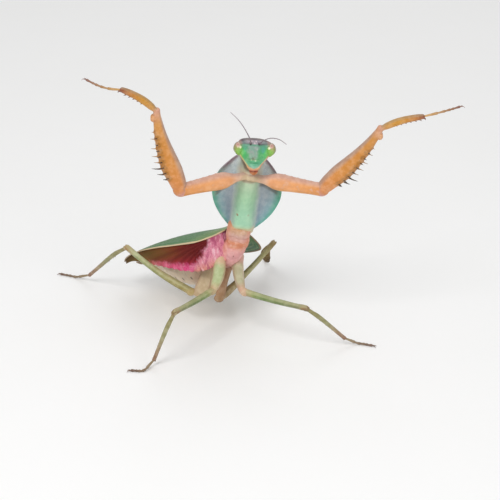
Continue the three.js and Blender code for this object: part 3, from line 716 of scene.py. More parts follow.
# Spines of the femur: a row on its gripping edge, one inside it that faces the viewer, and
# one behind: [share, length, lean to the viewer's side, dark].
FEMUR_SPINES = [
    [0.17, 0.8, 0.1, 1], [0.24, 1.6, 0.1, 1], [0.315, 2.4, 0.1, 1], [0.395, 1.3, 0.1, 0],
    [0.47, 1.5, 0.1, 0], [0.565, 1.4, 0.1, 0], [0.68, 1.2, 0.1, 0], [0.76, 0.7, 0.1, 0],
    [0.2, 0.9, 0.85, 1], [0.27, 1.1, 0.85, 1], [0.34, 1.2, 0.85, 1], [0.41, 1.2, 0.85, 1],
    [0.48, 1.1, 0.85, 1], [0.55, 1.0, 0.85, 1], [0.62, 0.9, 0.85, 1], [0.7, 0.8, 0.85, 1],
    [0.3, 1.0, -0.7, 1], [0.44, 1.0, -0.7, 1], [0.58, 0.9, -0.7, 1],
]


def chain(start, leg, names):
    """The joints of a leg, from its root."""
    joints = [start]
    for name in names:
        length, heading, pitch = leg[name]
        joints.append(joints[-1] + direction(heading, pitch) * length)
    return joints


def spine(shape, foot, way, length, radius, material, bend=(0, 0, 0)):
    """A curved, pointed spine, its foot sunk into what it grows from."""
    bend = np.asarray(bend)
    path = spline([foot - way * 0.5, foot, foot + way * length * 0.55 + bend * 0.3,
                   foot + way * length + bend], 14)
    share = np.linspace(0, 1, 14)
    shape.loft(*tube(path, radius * (1 - share) ** 0.75 + 0.02), material)


def segmented_foot(shape, path, lengths, radius):
    """A tarsus: short segments widening to their ends, and two claws."""
    gaps = np.concatenate([[0], np.cumsum(np.linalg.norm(np.diff(path, axis=0), axis=1))])
    ends = np.cumsum(lengths) / np.sum(lengths)
    share = np.linspace(0, 1, 130)
    k = np.minimum(np.searchsorted(ends, share - 1e-9), len(ends) - 1)
    begin = np.concatenate([[0], ends[:-1]])[k]
    part = (share - begin) / (ends[k] - begin)
    swell = (0.78 + 0.34 * ease(part, 0.2, 0.92) - 0.3 * ease(part, 0.94, 1.0)
             - 0.2 * ease(part, 0.1, 0)) * (1 - 0.12 * share)
    points = np.stack([np.interp(share * gaps[-1], gaps, path[:, i]) for i in range(3)], axis=-1)
    shape.loft(*tube(points, radius * swell, 16, up=-UP), FOOT)
    along = unit(points[-1] - points[-8])
    side = unit(np.cross(along, -UP))
    tip = points[-1]
    for hand in (-1, 1):
        way = unit(along + side * 0.45 * hand)
        claw = spline([points[-3], tip + way * 0.5, tip + way - UP * 0.12,
                       tip + way * 1.35 - UP * 0.55], 14)
        rings, local = tube(claw, np.linspace(0.17, 0.03, 14))
        shape.loft(rings, pinned(local, 1), FOOT)


def build_foreleg(side, leg):
    shape = Shape()
    root, elbow, knee, ankle, toe = chain(pro(*leg["root"]), leg, PARTS)
    outward = -1 if side == "right" else 1
    grip = np.array([outward, 0, -0.35])
    # Coxa, with a row of low tubercles along its upper edge.
    axis = unit(elbow - root)
    rings, local = limb_part(
        root - axis * COXA_BASE, elbow, UP, COXA_ROWS, steps=130, sides=48)
    along, upper = local[..., 0], local[..., 1]
    knobs = 0.09 * np.maximum(0, np.sin(along * 2 * np.pi * 11)) ** 2
    knobs = knobs * bump(upper, 1, 0.16) * ease(along, 0.3, 0.45) * ease(along, 1, 0.9)
    groove = 0.16 * bump(upper, -0.1, 0.16) * ease(along, 0.35, 0.5) * ease(along, 1.0, 0.85)
    shape.loft(swollen(rings, (knobs - groove) / 2), local, COXA)
    # Trochanter: a short hinge piece, a little turned towards the femur.
    femur_axis = unit(knee - elbow)
    pole = unit(axis * 0.5 + femur_axis)
    hinge = square_to(grip, pole)
    rings, local = blob(
        elbow + pole * 0.15, (pole, hinge, np.cross(pole, hinge)), (2.15, 2.05, 1.8))
    shape.loft(rings, local * (0.1, 1, 1), FEMUR)
    # Femur: bowed, thickest near its base, its spines growing from swollen feet.
    rings, local = limb_part(elbow, knee, grip, FEMUR_ROWS, bow=1.0, steps=120, sides=48)
    wide = square_to(grip, femur_axis)
    thin = np.cross(femur_axis, wide) * -outward
    length = np.linalg.norm(knee - elbow)
    stain = 0 * local[..., 0]
    spines = []
    for share, long, lean, dark in FEMUR_SPINES:
        reach = smooth_table(FEMUR_ROWS, np.array([share]))[0]
        aside = reach[0] * math.cos(lean * 1.1) + math.sin(math.pi * share)
        foot = elbow + femur_axis * length * share + wide * aside
        foot = foot + thin * reach[1] * math.sin(lean * 1.1)
        way = unit(wide + thin * lean * 0.7 + femur_axis * 0.22)
        spines.append((foot, way, long, dark))
        near = np.linalg.norm(rings - foot, axis=-1)
        stain = np.maximum(stain, bump(near, 0, 1.05 + 0.12 * long))
        rings = rings + way * (0.22 * bump(near, 0, 0.5))[..., None]
    seam = 0.12 * bump(local[..., 2], 0.0, 0.14) * ease(local[..., 1], 0.2, -0.2)
    seam = seam * ease(local[..., 0], 0.25, 0.4) * ease(local[..., 0], 0.98, 0.85)
    shape.loft(rings + wide * seam[..., None], local, FEMUR, stain)
    for foot, way, long, dark in spines:
        radius, slot = (0.25, DARK_SPINE) if dark else (0.17, SPINE)
        spine(shape, foot, way, long, radius, slot, femur_axis * 0.12 * long)
    for lean in (-1, 1):
        centre = knee - femur_axis * 1.9 + wide * 1.25 + thin * 0.55 * lean
        pole = unit(wide + femur_axis * 0.5)
        rings, local = blob(centre, (pole, thin, np.cross(pole, thin)), (0.82, 0.52, 1.0), 24, 14)
        shape.loft(rings, pinned(local, 0.93), FEMUR)
    # Tibia: slim neck at the knee, then a toothed lower edge and a hooked claw.
    tibia_axis = unit(ankle - knee)
    rings, local = limb_part(knee, ankle, grip, TIBIA_ROWS, bow=TIBIA_BOW, steps=80)
    wide = square_to(grip, tibia_axis)
    thin = np.cross(tibia_axis, wide)
    stain = ease(local[..., 1], 0.4, 1.0) * ease(local[..., 0], 0.45, 0.9)
    shape.loft(rings, local, TIBIA, stain)
    length = np.linalg.norm(ankle - knee)
    for i in range(11):
        share = 0.36 + 0.055 * i
        lean = 0.45 if i % 2 else -0.35
        reach = smooth_table(TIBIA_ROWS, np.array([share]))[0]
        aside = reach[0] * 0.92 + TIBIA_BOW * math.sin(math.pi * share)
        foot = knee + tibia_axis * length * share + wide * aside + thin * reach[1] * lean
        way = unit(wide * 0.8 + thin * lean * 0.6 + tibia_axis * 0.75)
        spine(shape, foot, way, 0.32 + 0.035 * i, 0.18, TOOTH)
    hook = spline([ankle + tibia_axis * a + wide * w for a, w in CLAW], 26)
    shape.loft(*tube(hook, np.linspace(0.62, 0.05, 26) ** 0.9, 18), TOOTH)
    # Tarsus, sagging a little on its way out.
    t = np.linspace(-0.04, 0.95, 20)[:, None]
    path = ankle + (toe - ankle) * t - UP * leg["sag"] * np.sin(np.pi * t)
    segmented_foot(shape, path, (5.2, 2.2, 1.6, 1.1, 1.9), 0.36)
    shape.build(f"foreleg_{side}", foreleg_paints, "foreleg_cuticle",
                [f"fore_{part}_{side}" for part in PARTS])


def coxa_paint():
    p = Paint("foreleg_coxa")
    p.tint = p.ramp(p.blur(p.x, 0.16, 3), "-0.1 d0bc98, 0.12 d0b490, 0.2 dcb094, 0.3 e8a06a,"
                    "0.6 ea9e5c, 0.85 e4964c, 1.05 d98a40")
    p.coat(p.ease(p.y, 0.35, 0.95) * 0.7, "c8a098")
    # Pale pinkish-white patches along the coxa's middle: painted highlights.
    gleam = p.ease(p.noise(1.6), 0.5, 0.72) * p.band(p.y, 0.1, 0.25, 0.4)
    p.coat(gleam * p.ease(p.x, 0.3, 0.45) * 0.4, "f4d8cc")
    p.coat(p.ease(p.y, -0.3, -0.9) * 0.4, "d8944c")
    return p.cuticle(0.3, 0.12, 0.36, 0.05)


def femur_paint():
    p = Paint("foreleg_femur")
    p.tint = p.ramp(p.blur(p.x, 0.12, 3), "-0.08 dba0a0, 0.02 d6884a, 0.15 da8a3e, 0.35 d68a32,"
                    "0.6 d2882e, 0.86 d49244, 1.03 d8a088")
    p.coat(p.ease(p.y, -0.45, -0.95) * p.ease(p.x, 1.0, 0.8) * 0.8, "b09488")
    p.coat(p.ease(p.stain, 0.15, 0.8, 0.9), "b07006")
    p.coat(p.ease(p.stain, 0.1, 0.6) * p.ease(p.noise(0.5), 0.5, 0.6) * 0.5, "8a5210")
    return p.cuticle(0.28, 0.12, 0.36, 0.06)


def tibia_paint():
    p = Paint("foreleg_tibia")
    p.tint = p.ramp(p.x, "-0.1 d8a090, 0.06 d8a47c, 0.16 cc8c28, 0.5 d29220, 0.85 c07622,"
                    "1.05 8a4428")
    p.coat(p.ease(p.y, -0.5, -0.95) * 0.5, "a08c68")
    comb = p.ease(p.math("SINE", p.x * (2 * math.pi * 18)), 0.0, 0.8)
    p.coat(comb * p.ease(p.y, 0.15, 0.6) * p.ease(p.x, 0.4, 0.6) * 0.8, "7a3c18")
    p.coat(p.stain * 0.8, "9a5020")
    return p.cuticle(0.25, 0.1, 0.36, 0.05)


def tip_paint(name, base, tip, roughness=0.35):
    p = Paint(name)
    p.tint = p.ramp(p.x, f"0 {base}, 1 {tip}")
    return p.cuticle(0.2, 0.1, roughness, 0.02)


foreleg_paints = [
    coxa_paint(), femur_paint(), tibia_paint(),
    tip_paint("spine_pale", "c98a3c", "9a8a78"), tip_paint("spine_dark", "5a3a10", "241c18", 0.3),
    tip_paint("foreleg_tarsus", "d4a45c", "84584c"), tip_paint("tooth", "a05828", "6a2c20"),
]
for side, leg in FORELEGS.items():
    build_foreleg(side, leg)


# ---- Walking legs ----

MID_FEMUR_ROWS = [
    [0, 1.0, 0.98], [0.1, 0.96, 0.94], [0.3, 0.9, 0.88], [0.6, 0.82, 0.8],
    [0.86, 0.74, 0.72], [0.95, 0.84, 0.8], [1, 0.8, 0.76],
]
SHIN_ROWS = [
    [0, 0.68, 0.64, 0], [0.08, 0.56, 0.55, 0.1], [0.28, 0.7, 0.66, 0.35], [0.7, 0.6, 0.56, 0.05],
    [0.92, 0.56, 0.53, 0], [1, 0.6, 0.56, 0],
]
MID_FEMUR_STOPS = ("-0.05 c4a484, 0.02 c0a680, 0.14 889450, 0.25 6c8644, 0.6 6a7c46, 0.88 82845a,"
                   "0.96 96784e, 1.04 8c6c4c")
SHIN_STOPS = "-0.03 986e4c, 0.08 908858, 0.5 949266, 0.8 9e8264, 1 8e6852"
# root is in the body frame; coxa, femur and tibia are length, heading and pitch; instep and toe,
# the two stretches of the foot, are length and heading. The rows are [share of the length, half
# one way, half the other, shift], a coxa's towards +X; sink is how far a coxa starts inside the
# trunk; a femur bows up and a tibia away from the body. The colours are a coxa's at its root,
# middle and end, its edges', and the hip's.
WALKING_LEGS = {
    "mid_right": {
        "root": (0, 3, -4.2), "coxa": (9.5, -24, -48.5), "femur": (20, -31, 5),
        "tibia": (16.5, -91, -67.8), "instep": (4.7, -38), "toe": (4, -94),
        "sink": 0.1, "femur_bow": -0.25, "tibia_bow": 0.4,
        "coxa_rows": [[0, 1.5, 1.8, -0.45], [0.12, 1.78, 1.9, -0.3], [0.3, 1.85, 1.9, 0],
                      [0.63, 1.62, 1.7, 0.35], [0.87, 1.3, 1.4, 0.2], [1, 1.1, 1.2, 0]],
        "femur_rows": MID_FEMUR_ROWS,
        "colours": "d0b08c b0bc88 c8a47c c8a884 b4a074", "femur_stops": MID_FEMUR_STOPS,
    },
    "mid_left": {
        "root": (0, -3, -4.2), "coxa": (9.5, 14, -35), "femur": (20, 63, -2),
        "tibia": (16.4, 103.6, -43.3), "instep": (4.7, 104), "toe": (4.7, 72),
        "sink": 2, "femur_bow": -0.3, "tibia_bow": 0.4,
        "coxa_rows": [[0, 2.3, 2.1, 0.2], [0.17, 1.9, 2.0, 0], [0.33, 1.7, 1.9, -0.1],
                      [0.61, 1.5, 1.7, -0.35], [0.89, 1.12, 1.3, -0.35], [1, 1.0, 1.1, -0.15]],
        "femur_rows": MID_FEMUR_ROWS,
        "colours": "e0a098 b8b490 cc987c cca892 d0ac8c", "femur_stops": MID_FEMUR_STOPS,
    },
    "hind_right": {
        "root": (-7.5, 3.4, -4), "coxa": (9.8, -48, -60), "femur": (26, -126, 17.7),
        "tibia": (26, -138, -39.5), "instep": (6.4, -127), "toe": (6, -114),
        "sink": 2, "femur_bow": -1.0, "tibia_bow": 0.3,
        "coxa_rows": [[0, 1.7, 2.2, 1.2], [0.17, 1.85, 2.2, 1.7], [0.45, 1.95, 2.2, 2.1],
                      [0.75, 2.1, 2.0, 2.3], [0.9, 1.9, 1.7, 2.1], [1, 1.3, 1.2, 1.3]],
        "femur_rows": [[0, 1.1, 1.05], [0.1, 1.12, 1.05], [0.25, 1.08, 1.0], [0.5, 0.94, 0.88],
                       [0.8, 0.8, 0.76], [0.95, 0.88, 0.82], [1, 0.84, 0.78]],
        "colours": "dca088 c8b08c c0a480 b89070 b8a068",
        "femur_stops": "-0.05 a8904c, 0.1 988846, 0.3 968c4a, 0.6 929860, 0.85 96a06c,"
                       "0.95 a08858, 1.04 a87048",
    },
    "hind_left": {
        "root": (-7.5, -3.4, -4), "coxa": (9.9, -9.5, -56.5), "femur": (26, 136, 23.7),
        "tibia": (26, -176, -37.3), "instep": (6.4, -173), "toe": (6, -174),
        "sink": 2, "femur_bow": -0.75, "tibia_bow": 1.5,
        "coxa_rows": [[0, 2.4, 2.1, 1.4], [0.17, 2.2, 2.2, 1.2], [0.3, 2.1, 2.1, 0.9],
                      [0.65, 1.8, 1.9, 0.4], [0.88, 1.5, 1.6, 0.5], [1, 1.25, 1.35, 0.2]],
        "femur_rows": [[0, 1.2, 1.1, -0.1], [0.1, 1.25, 1.15, -0.35], [0.25, 1.1, 1.0, -0.32],
                       [0.5, 0.85, 0.82, 0], [0.8, 0.78, 0.74, 0], [0.95, 0.86, 0.8, 0],
                       [1, 0.84, 0.78, 0]],
        "tibia_rows": [[0, 0.7, 0.65, 0], [0.15, 0.75, 0.7, 0], [0.35, 1.1, 0.95, 0],
                       [0.6, 1.5, 1.1, 0], [0.82, 1.35, 1.0, 0], [0.94, 0.9, 0.8, 0],
                       [1, 0.7, 0.65, 0]],
        "colours": "a0604c b08460 a47e56 a07850 a07a54",
        # The femur's colours are painted lighter against the shade under the body.
        "femur_stops": "-0.05 a4845c, 0.2 a08c60, 0.5 a09c68, 0.8 a09a64, 1 907844",
        "tibia_stops": "-0.03 8a7448, 0.3 806828, 0.6 6e5414, 0.85 54380a, 1 3c2606",
    },
}


def build_walking_leg(name, leg):
    shape = Shape()
    root, hip, knee, ankle = chain(body(*leg["root"]), leg, PARTS[:3])
    length, heading = leg["instep"]
    drop = math.degrees(math.asin((ankle[2] - FOOT_HEIGHT) / length))
    ground = ankle + direction(heading, -drop) * length
    toe = ground + direction(leg["toe"][1], 0) * leg["toe"][0]
    coxa_axis, femur_axis, tibia_axis = unit(hip - root), unit(knee - hip), unit(ankle - knee)
    # Coxa, with two keels.
    rings, local = limb_part(root - coxa_axis * leg["sink"], hip, (1, 0, 0), leg["coxa_rows"],
                             steps=90, caps=(0.9, 0.55))
    ridge = 0.06 * bump(local[..., 1], 0.72, 0.14) + 0.06 * bump(local[..., 1], -0.72, 0.14)
    ridge = ridge * ease(local[..., 0], 0.95, 0.75) * ease(local[..., 0], 0.2, 0.4)
    shape.loft(swollen(rings, ridge), local, COXA)
    # Trochanter, then a femur with two keels and a lobe either side of the knee.
    pole = unit(coxa_axis * 0.7 + femur_axis)
    side = unit(np.cross(pole, UP))
    rings, local = blob(
        hip + femur_axis * 0.25, (pole, side, np.cross(pole, side)), (1.55, 1.2, 1.2))
    shape.loft(rings, local * (0.1, 1, 1), HIP)
    rings, local = limb_part(
        hip + femur_axis * 0.8, knee, UP, leg["femur_rows"], leg["femur_bow"], steps=90)
    keels = 0.10 * (bump(local[..., 1], 0.0, 0.1) + bump(local[..., 1], 0.8, 0.08))
    shape.loft(swollen(rings, keels), local, THIGH)
    side = square_to(np.cross(femur_axis, tibia_axis), femur_axis)
    down = square_to(tibia_axis, femur_axis)
    for hand in (-1, 1):
        rings, local = blob(knee + femur_axis * 0.1 + side * 0.42 * hand + down * 0.18,
                            (femur_axis, side, down), (0.95, 0.36, 0.75), 20, 14)
        shape.loft(rings, pinned(local, 1), THIGH)
    # Tibia: a bent head in the knee, two rows of tiny spurs, and two at its end.
    out = square_to((-1, 0, 0) if name == "hind_left" else femur_axis, tibia_axis)
    bow = leg["tibia_bow"]
    shape.loft(*limb_part(knee + tibia_axis * 0.1, ankle, out, leg.get("tibia_rows", SHIN_ROWS),
                          bow, sides=28, steps=110), SHIN)
    length = np.linalg.norm(ankle - knee)
    across = np.cross(tibia_axis, out)
    for i in range(9):
        share = 0.3 + 0.075 * i
        aside = out * -0.42 + across * (0.28 if i % 2 else -0.28)
        foot = (knee + tibia_axis * length * share
                + out * bow * math.sin(math.pi * share) + aside)
        spine(shape, foot, unit(aside + tibia_axis * 0.9), 0.42, 0.09, SPUR)
    for hand in (-1, 1):
        foot = ankle - out * 0.2 + across * 0.32 * hand
        way = unit(tibia_axis - out * 0.35 + across * 0.5 * hand)
        spine(shape, foot, way, 0.55, 0.12, SPUR)
    # Foot: from the ankle down to the floor, then flat along it.
    heading = unit(toe - ground)
    path = spline([ankle - (ground - ankle) * 0.06, ankle + (ground - ankle) * 0.5,
                   ground * 0.86 + ankle * 0.14, ground + heading * 0.5, toe - heading * 1.1,
                   toe - heading * 0.35], 60)
    path[:, 2] = np.maximum(path[:, 2], FOOT_HEIGHT)
    segmented_foot(shape, path, (5.0, 2.0, 1.5, 1.0, 1.8), 0.4)
    shape.build(f"leg_{name}", leg_paints(name, leg), "leg_cuticle",
                [f"{name}_{part}" for part in PARTS])


def leg_paint(name, stops, stripe_and_shade=False, roughness=0.42, **constants):
    p = Paint(name)
    p.tint = p.ramp(p.blur(p.x, 0.1, 3), stops)
    # On a femur: painted light along the top and painted shade underneath.
    if stripe_and_shade:
        p.coat(p.ease(p.y, 0.1, 0.7) * 0.45, "c4c494")
        p.coat(p.ease(p.y, -0.2, -0.8) * 0.35, "4c6834")
    return p.cuticle(0.25, 0.14, roughness, 0.04, **constants)


def leg_paints(name, leg):
    """Coxa, hip, femur and tibia of one leg, and the spurs and foot that all legs share."""
    root, middle, end, edge, hip = leg["colours"].split()
    p = Paint(f"{name}_coxa")
    p.tint = p.ramp(p.blur(p.x, 0.2, 2),
                    f"-0.1 {root}, 0.12 {root}, 0.3 {middle}, 0.75 {middle}, 1 {end}")
    p.coat(p.ease(abs(p.y), 0.55, 0.95) * 0.6, edge)
    dull = name == "hind_left"
    return [
        p.cuticle(0.3, 0.12, 0.42, 0.05),
        leg_paint(f"{name}_hip", f"-0.5 {hip}, 0.5 {hip}"),
        leg_paint(f"{name}_femur", leg["femur_stops"], not dull),
        leg_paint(f"{name}_tibia", leg.get("tibia_stops", SHIN_STOPS), False,
                  0.7 if dull else 0.5, **{"Specular IOR Level": 0.1 if dull else 0.4}),
        spur, foot_tip,
    ]


spur = tip_paint("spur", "a08058", "4a3a30")
foot_tip = tip_paint("foot_cuticle", "94805c", "6a4a3a")
for name, leg in WALKING_LEGS.items():
    build_walking_leg(name, leg)


# ---- Wings ----

# Outline of a wing cover: [share of its length, inner edge, outer edge].
TEGMEN_OUTLINE = [
    [0, -1.6, 1], [0.05, -2.6, 4], [0.1, -3.2, 6.1], [0.15, -3.7, 7.1], [0.2, -4, 7.3],
    [0.35, -4.5, 7], [0.5, -4.4, 6.1], [0.7, -3.9, 4.8], [0.85, -3, 3.2], [0.95, -1.9, 1.8],
    [1, -0.5, 0.3],
]
WING = {"length": 45, "hinge": 2.4, "base": 4, "rise": 4.2}
WINGS = {
    "right": {"side": 1, "open": 3, "slope": 0.5, "lift": 0,
              "hang": 1, "tuck": 3.6, "inset": 0.5, "start": 0.012, "end": 0.97},
    "left": {"side": -1, "open": 21, "slope": 0.17, "lift": 6.5,
             "hang": 0.2, "tuck": 0.5, "inset": 3.4, "start": 0.3, "end": 0.93},
}
# How deep the hindwing hangs: [share of its length, depth].
HINDWING_DEPTH = [
    [0, 7], [0.12, 7.6], [0.32, 6.8], [0.5, 5.4], [0.7, 3.8], [0.9, 1.6], [1, 0.9],
]
HINDWING_FOLD = 0.22  # share of the width that lies under the wing cover
# The left wing cover's colours and its rim are darker than the right's: painted shade, as it lies
# in the body's shadow.
TEGMEN_STOPS = {
    "right": "0 8ca06c, 0.1 7c9c62, 0.2 447c42, 0.34 287038, 0.6 2c6830, 0.85 5c6c34, 1 7c6a40",
    "left": "0 5c8450, 0.15 2c6a44, 0.5 2a6642, 0.85 4c6a3c, 1 6a6040",
}
RIM_CODE = {"right": "dcc49c", "left": "8c7452"}
VEINS = (0.07, 0.17, 0.28, 0.38, 0.47, 0.56, 0.66, 0.77, 0.9)  # of the width, from the inner edge


def wing_height(wing, share, across):
    """Height of a wing cover, at a share of its length and mm across it."""
    arch = np.sin(np.pi * share)
    steepness = 1 + 0.7 * np.exp(-14 * share) + 0.11 * arch
    fall = wing["slope"] * steepness * across + 0.016 * across**2
    rise = WING["rise"] + 0.6 * np.exp(-12 * share) + 0.35 * arch + wing["lift"] * share**2
    return rise - 3 * share**3 - 1.8 * share**10 - fall


def wing_place(wing, share, across, height):
    turn = math.radians(wing["open"])
    back = WING["length"] * share
    forward = WING["hinge"] - back * math.cos(turn) + across * math.sin(turn)
    out = WING["base"] + back * math.sin(turn) + across * math.cos(turn)
    return body(forward, wing["side"] * out, height)


def there_and_back(a, b):
    """Closed rows, across one grid and back across the other."""
    return np.concatenate([a, b[:, ::-1]], axis=1)


def plate(shape, grid, thickness, local, relief, stain):
    """A closed sheet round a grid of points; relief moves both of its faces."""
    normal = np.cross(np.gradient(grid, axis=0), np.gradient(grid, axis=1))
    normal = normal / np.maximum(np.linalg.norm(normal, axis=-1, keepdims=True), 1e-9)
    thickness, relief, stain = (
        np.broadcast_to(v, grid.shape[:2]) for v in (thickness, relief, stain))
    half, lift = thickness[..., None] / 2, relief[..., None]
    one, other = grid + normal * (lift + half), grid + normal * (lift * 0.8 - half)
    upper, lower = local * (1, 1, 0) + (0, 0, 1), local * (1, 1, 0) - (0, 0, 1)
    shape.loft(there_and_back(one, other), there_and_back(upper, lower), 0,
               there_and_back(stain, stain))


def vein_mask(s, t, width_mm):
    """1 on a lengthwise vein. Veins run in from the hinge and fade before the tip."""
    total = np.zeros(np.broadcast(s, t).shape)
    for place in VEINS:
        middle = 0.52 + (place - 0.52) * ease(s, -0.05, 0.16)
        reach = 0.5 + 0.48 * (1 - abs(place - 0.5))
        vein = bump((t - middle) * width_mm, 0, 0.16) * ease(s, reach, reach - 0.2)
        total = np.maximum(total, vein)
    return total


def build_tegmen(side, wing):
    s = np.linspace(0, 1, 260)[:, None]
    t = np.linspace(0, 1, 90)[None]
    inner, outer = np.moveaxis(smooth_table(TEGMEN_OUTLINE, s), -1, 0)
    across = inner + (outer - inner) * t
    share = np.broadcast_to(s, across.shape)
    grid = wing_place(wing, share, across, wing_height(wing, share, across))
    veins = vein_mask(s, t, outer - inner)
    relief = (0.09 * veins + 0.05 * np.sin(across * 2.1 + share * 18)
              * ease(t, 0.62, 0.8) * ease(s, 0.9, 0.6))
    edge = np.minimum(across - inner, outer - across)
    thickness = 0.16 + 0.22 * bump(outer - across, 0.12, 0.3) + 0.1 * bump(across - inner, 0, 0.2)
    thickness = thickness * (0.3 + 0.7 * ease(edge, -0.05, 0.12))
    local = np.stack([share, outer - across, 0 * across], axis=-1)
    shape = Shape()
    plate(shape, grid, thickness, local, -relief * wing["side"], veins)
    # The thick front vein, a rounded rib along the outer edge.
    s, rim = s[2:-1, 0], outer[2:-1, 0] - 0.05
    rings, rib = tube(wing_place(wing, s, rim, wing_height(wing, s, rim)), 0.2 * (1 - 0.6 * s), 12)
    shape.loft(rings, np.stack(np.broadcast_arrays(s[:, None], 0 * rib[..., 0], 1), axis=-1))
    shape.build(f"tegmen_{side}", [tegmen_paint(side)], "forewing", [f"tegmen_{side}"])


def tegmen_paint(side):
    p = Paint(f"forewing_{side}")
    share, inwards = p.x, p.y
    wander = p.blur(share, 0.2, 4, 4.0)
    p.tint = p.ramp(wander, TEGMEN_STOPS[side])
    net = p.ease(p.cells(0.95), 0.09, 0.02)
    p.coat(net * 0.4, "3a7038")
    p.coat(p.stain * 0.5, "9cb478")
    rim = RIM_CODE[side]
    p.coat(p.ease(inwards, 0.75, 0.2), p.ramp(share, f"0 {rim}, 0.6 {rim}, 1 8a6a48"))
    under = p.ramp(wander, "0 8a4038, 0.25 8c5a34, 0.6 8a7038, 1 7a6a38")
    p.coat(p.ease(p.z, 0.5, -0.5) * p.ease(inwards, 0.2, 0.8), under)
    shine = p.ease(p.noise(0.9, 2.0), 0.3, 0.7, 0.46, 0.34)
    return p.finish(shine, net * 0.8 + p.noise(0.25, 2.0) * 0.3, 0.06,
                    **{"Specular IOR Level": 0.35})


def build_hindwing(side, wing):
    s = np.linspace(0, 1, 420)[:, None]
    t = np.linspace(0, 1, 110)[None]
    share = wing["start"] + (wing["end"] - wing["start"]) * s
    edge = np.maximum(smooth_table(TEGMEN_OUTLINE, share)[..., 1] - wing["inset"], 0.3)
    hung = np.maximum(0, (t - HINDWING_FOLD) / (1 - HINDWING_FOLD))
    inwards = np.maximum(0, 1 - t / HINDWING_FOLD) * np.minimum(2.5, edge + 1)
    depth = smooth_table(HINDWING_DEPTH, s[:, 0])
    # Pleats fan out from the hinge; the membrane hangs in soft folds there, with a frilled hem.
    fan = np.arctan2(hung * depth + 0.6, share * WING["length"] + 1.0)
    drape = ease(s, 0.1 + 0.22 * hung, 0.02 + 0.16 * hung)
    pleat = np.sin(fan * 60 + 1.2 * np.sin(s * 9)) * (0.04 + 0.09 * hung) * (1 - drape)
    swag = np.sin(2 * np.pi * (s / 0.045 + 0.5 * hung) + 2.2 * np.sin(42 * s + 1))
    swag = swag * 0.3 * drape * ease(hung, 0.02, 0.25)
    waves = 0.32 * np.sin(2 * np.pi * 8.5 * s + 0.8 * np.sin(14 * s))
    waves = waves + 0.16 * np.sin(2 * np.pi * 21 * s)
    ruffle = 0.8 * ease(hung, 0.72, 1.0) * waves * ease(s, 0.04, 0.14) * ease(s, 0.92, 0.7)
    hem = 0.12 * hung**10 * np.sin(2 * np.pi * 17 * s + 2) * ease(s, 0.85, 0.7)
    inturn = wing["tuck"] * hung**1.4 * depth / 7
    height = wing_height(wing, share, edge - inwards) - 0.42 - wing["hang"] * depth * hung - hem
    across = edge - inwards - inturn + ruffle
    grid = wing_place(wing, np.broadcast_to(share, across.shape), across, height)
    local = np.stack(np.broadcast_arrays(s, hung, 0), axis=-1)
    shape = Shape()
    plate(shape, grid, 0.12, local, (pleat + swag) * wing["side"], fan)
    shape.build(f"hindwing_{side}", [hindwing_material], "hindwing", [f"hindwing_{side}"])


def hindwing_paint():
    p = Paint("hindwing")
    s, hung, fan = p.x, p.y, p.stain
    cloud = (p.noise(2, 4.0) - 0.5) * 0.12
    # Dark maroon above, redder below: the wing's own red, with painted shadow of the wing cover
    # over the upper part.
    upper = p.ramp(s + cloud, "0 64101a, 0.14 600a0e, 0.24 66160e, 0.36 703010, 0.5 6e4418,"
                   "0.7 665020, 1 5c5024")
    lower = p.ramp(s + cloud, "0 8c1228, 0.2 921428, 0.35 901c28, 0.5 843628, 0.64 805028,"
                   "0.8 745c2a, 1 665a2c")
    p.tint = p.mix(p.ease(hung + cloud * 2.0, 0.35, 0.75), upper, lower)
    rays = p.math("SINE", fan * 60.0)
    p.coat(p.ease(rays, 0.0, 0.95) * 0.3, "4c0c0e")
    p.coat(p.ease(rays, -0.5, -1.0) * 0.05, "c07058")
    # The frill: an irregular pink edge, with pale patches of painted highlight, that fades towards
    # the tip.
    pink = p.ramp(s, "0 d878a8, 0.25 d84c80, 0.5 dc5c7c, 0.72 cc8068")
    pink = p.mix(p.ease(p.noise(1.5), 0.4, 0.75, 0.7), pink, "eca0b4")
    p.coat(p.ease(p.blur(hung, 0.3, 0.9), 0.62, 0.86) * p.ease(s, 0.74, 0.6), pink)
    # Soft lilac-pink folds by the body, wider towards the hem, with painted shadow and painted
    # highlight along the folds.
    soft = p.ramp(hung, "0 b8607c, 0.3 d8849c, 0.7 e094a4, 1 dc9884")
    fold_shading = p.noise(1.3, 4.0, (1.0, 1.0, 0.3))
    soft = p.mix(p.ease(fold_shading, 0.5, 0.64, 0.65), soft, "a8446c")
    soft = p.mix(p.ease(fold_shading, 0.48, 0.36, 0.6), soft, "f2ccd4")
    p.coat(p.ease(s + cloud - hung * hung * 0.17, 0.085, 0.035), soft)
    p.coat(p.ease(p.cells(0.6), 0.08, 0.02) * 0.25, "7a4038")
    return p.finish(0.75, rays * 0.3 + p.noise(0.3) * 0.7, 0.07, **{"Specular IOR Level": 0.2})


hindwing_material = hindwing_paint()
for side, wing in WINGS.items():
    build_tegmen(side, wing)
    build_hindwing(side, wing)


# ---- Head ----

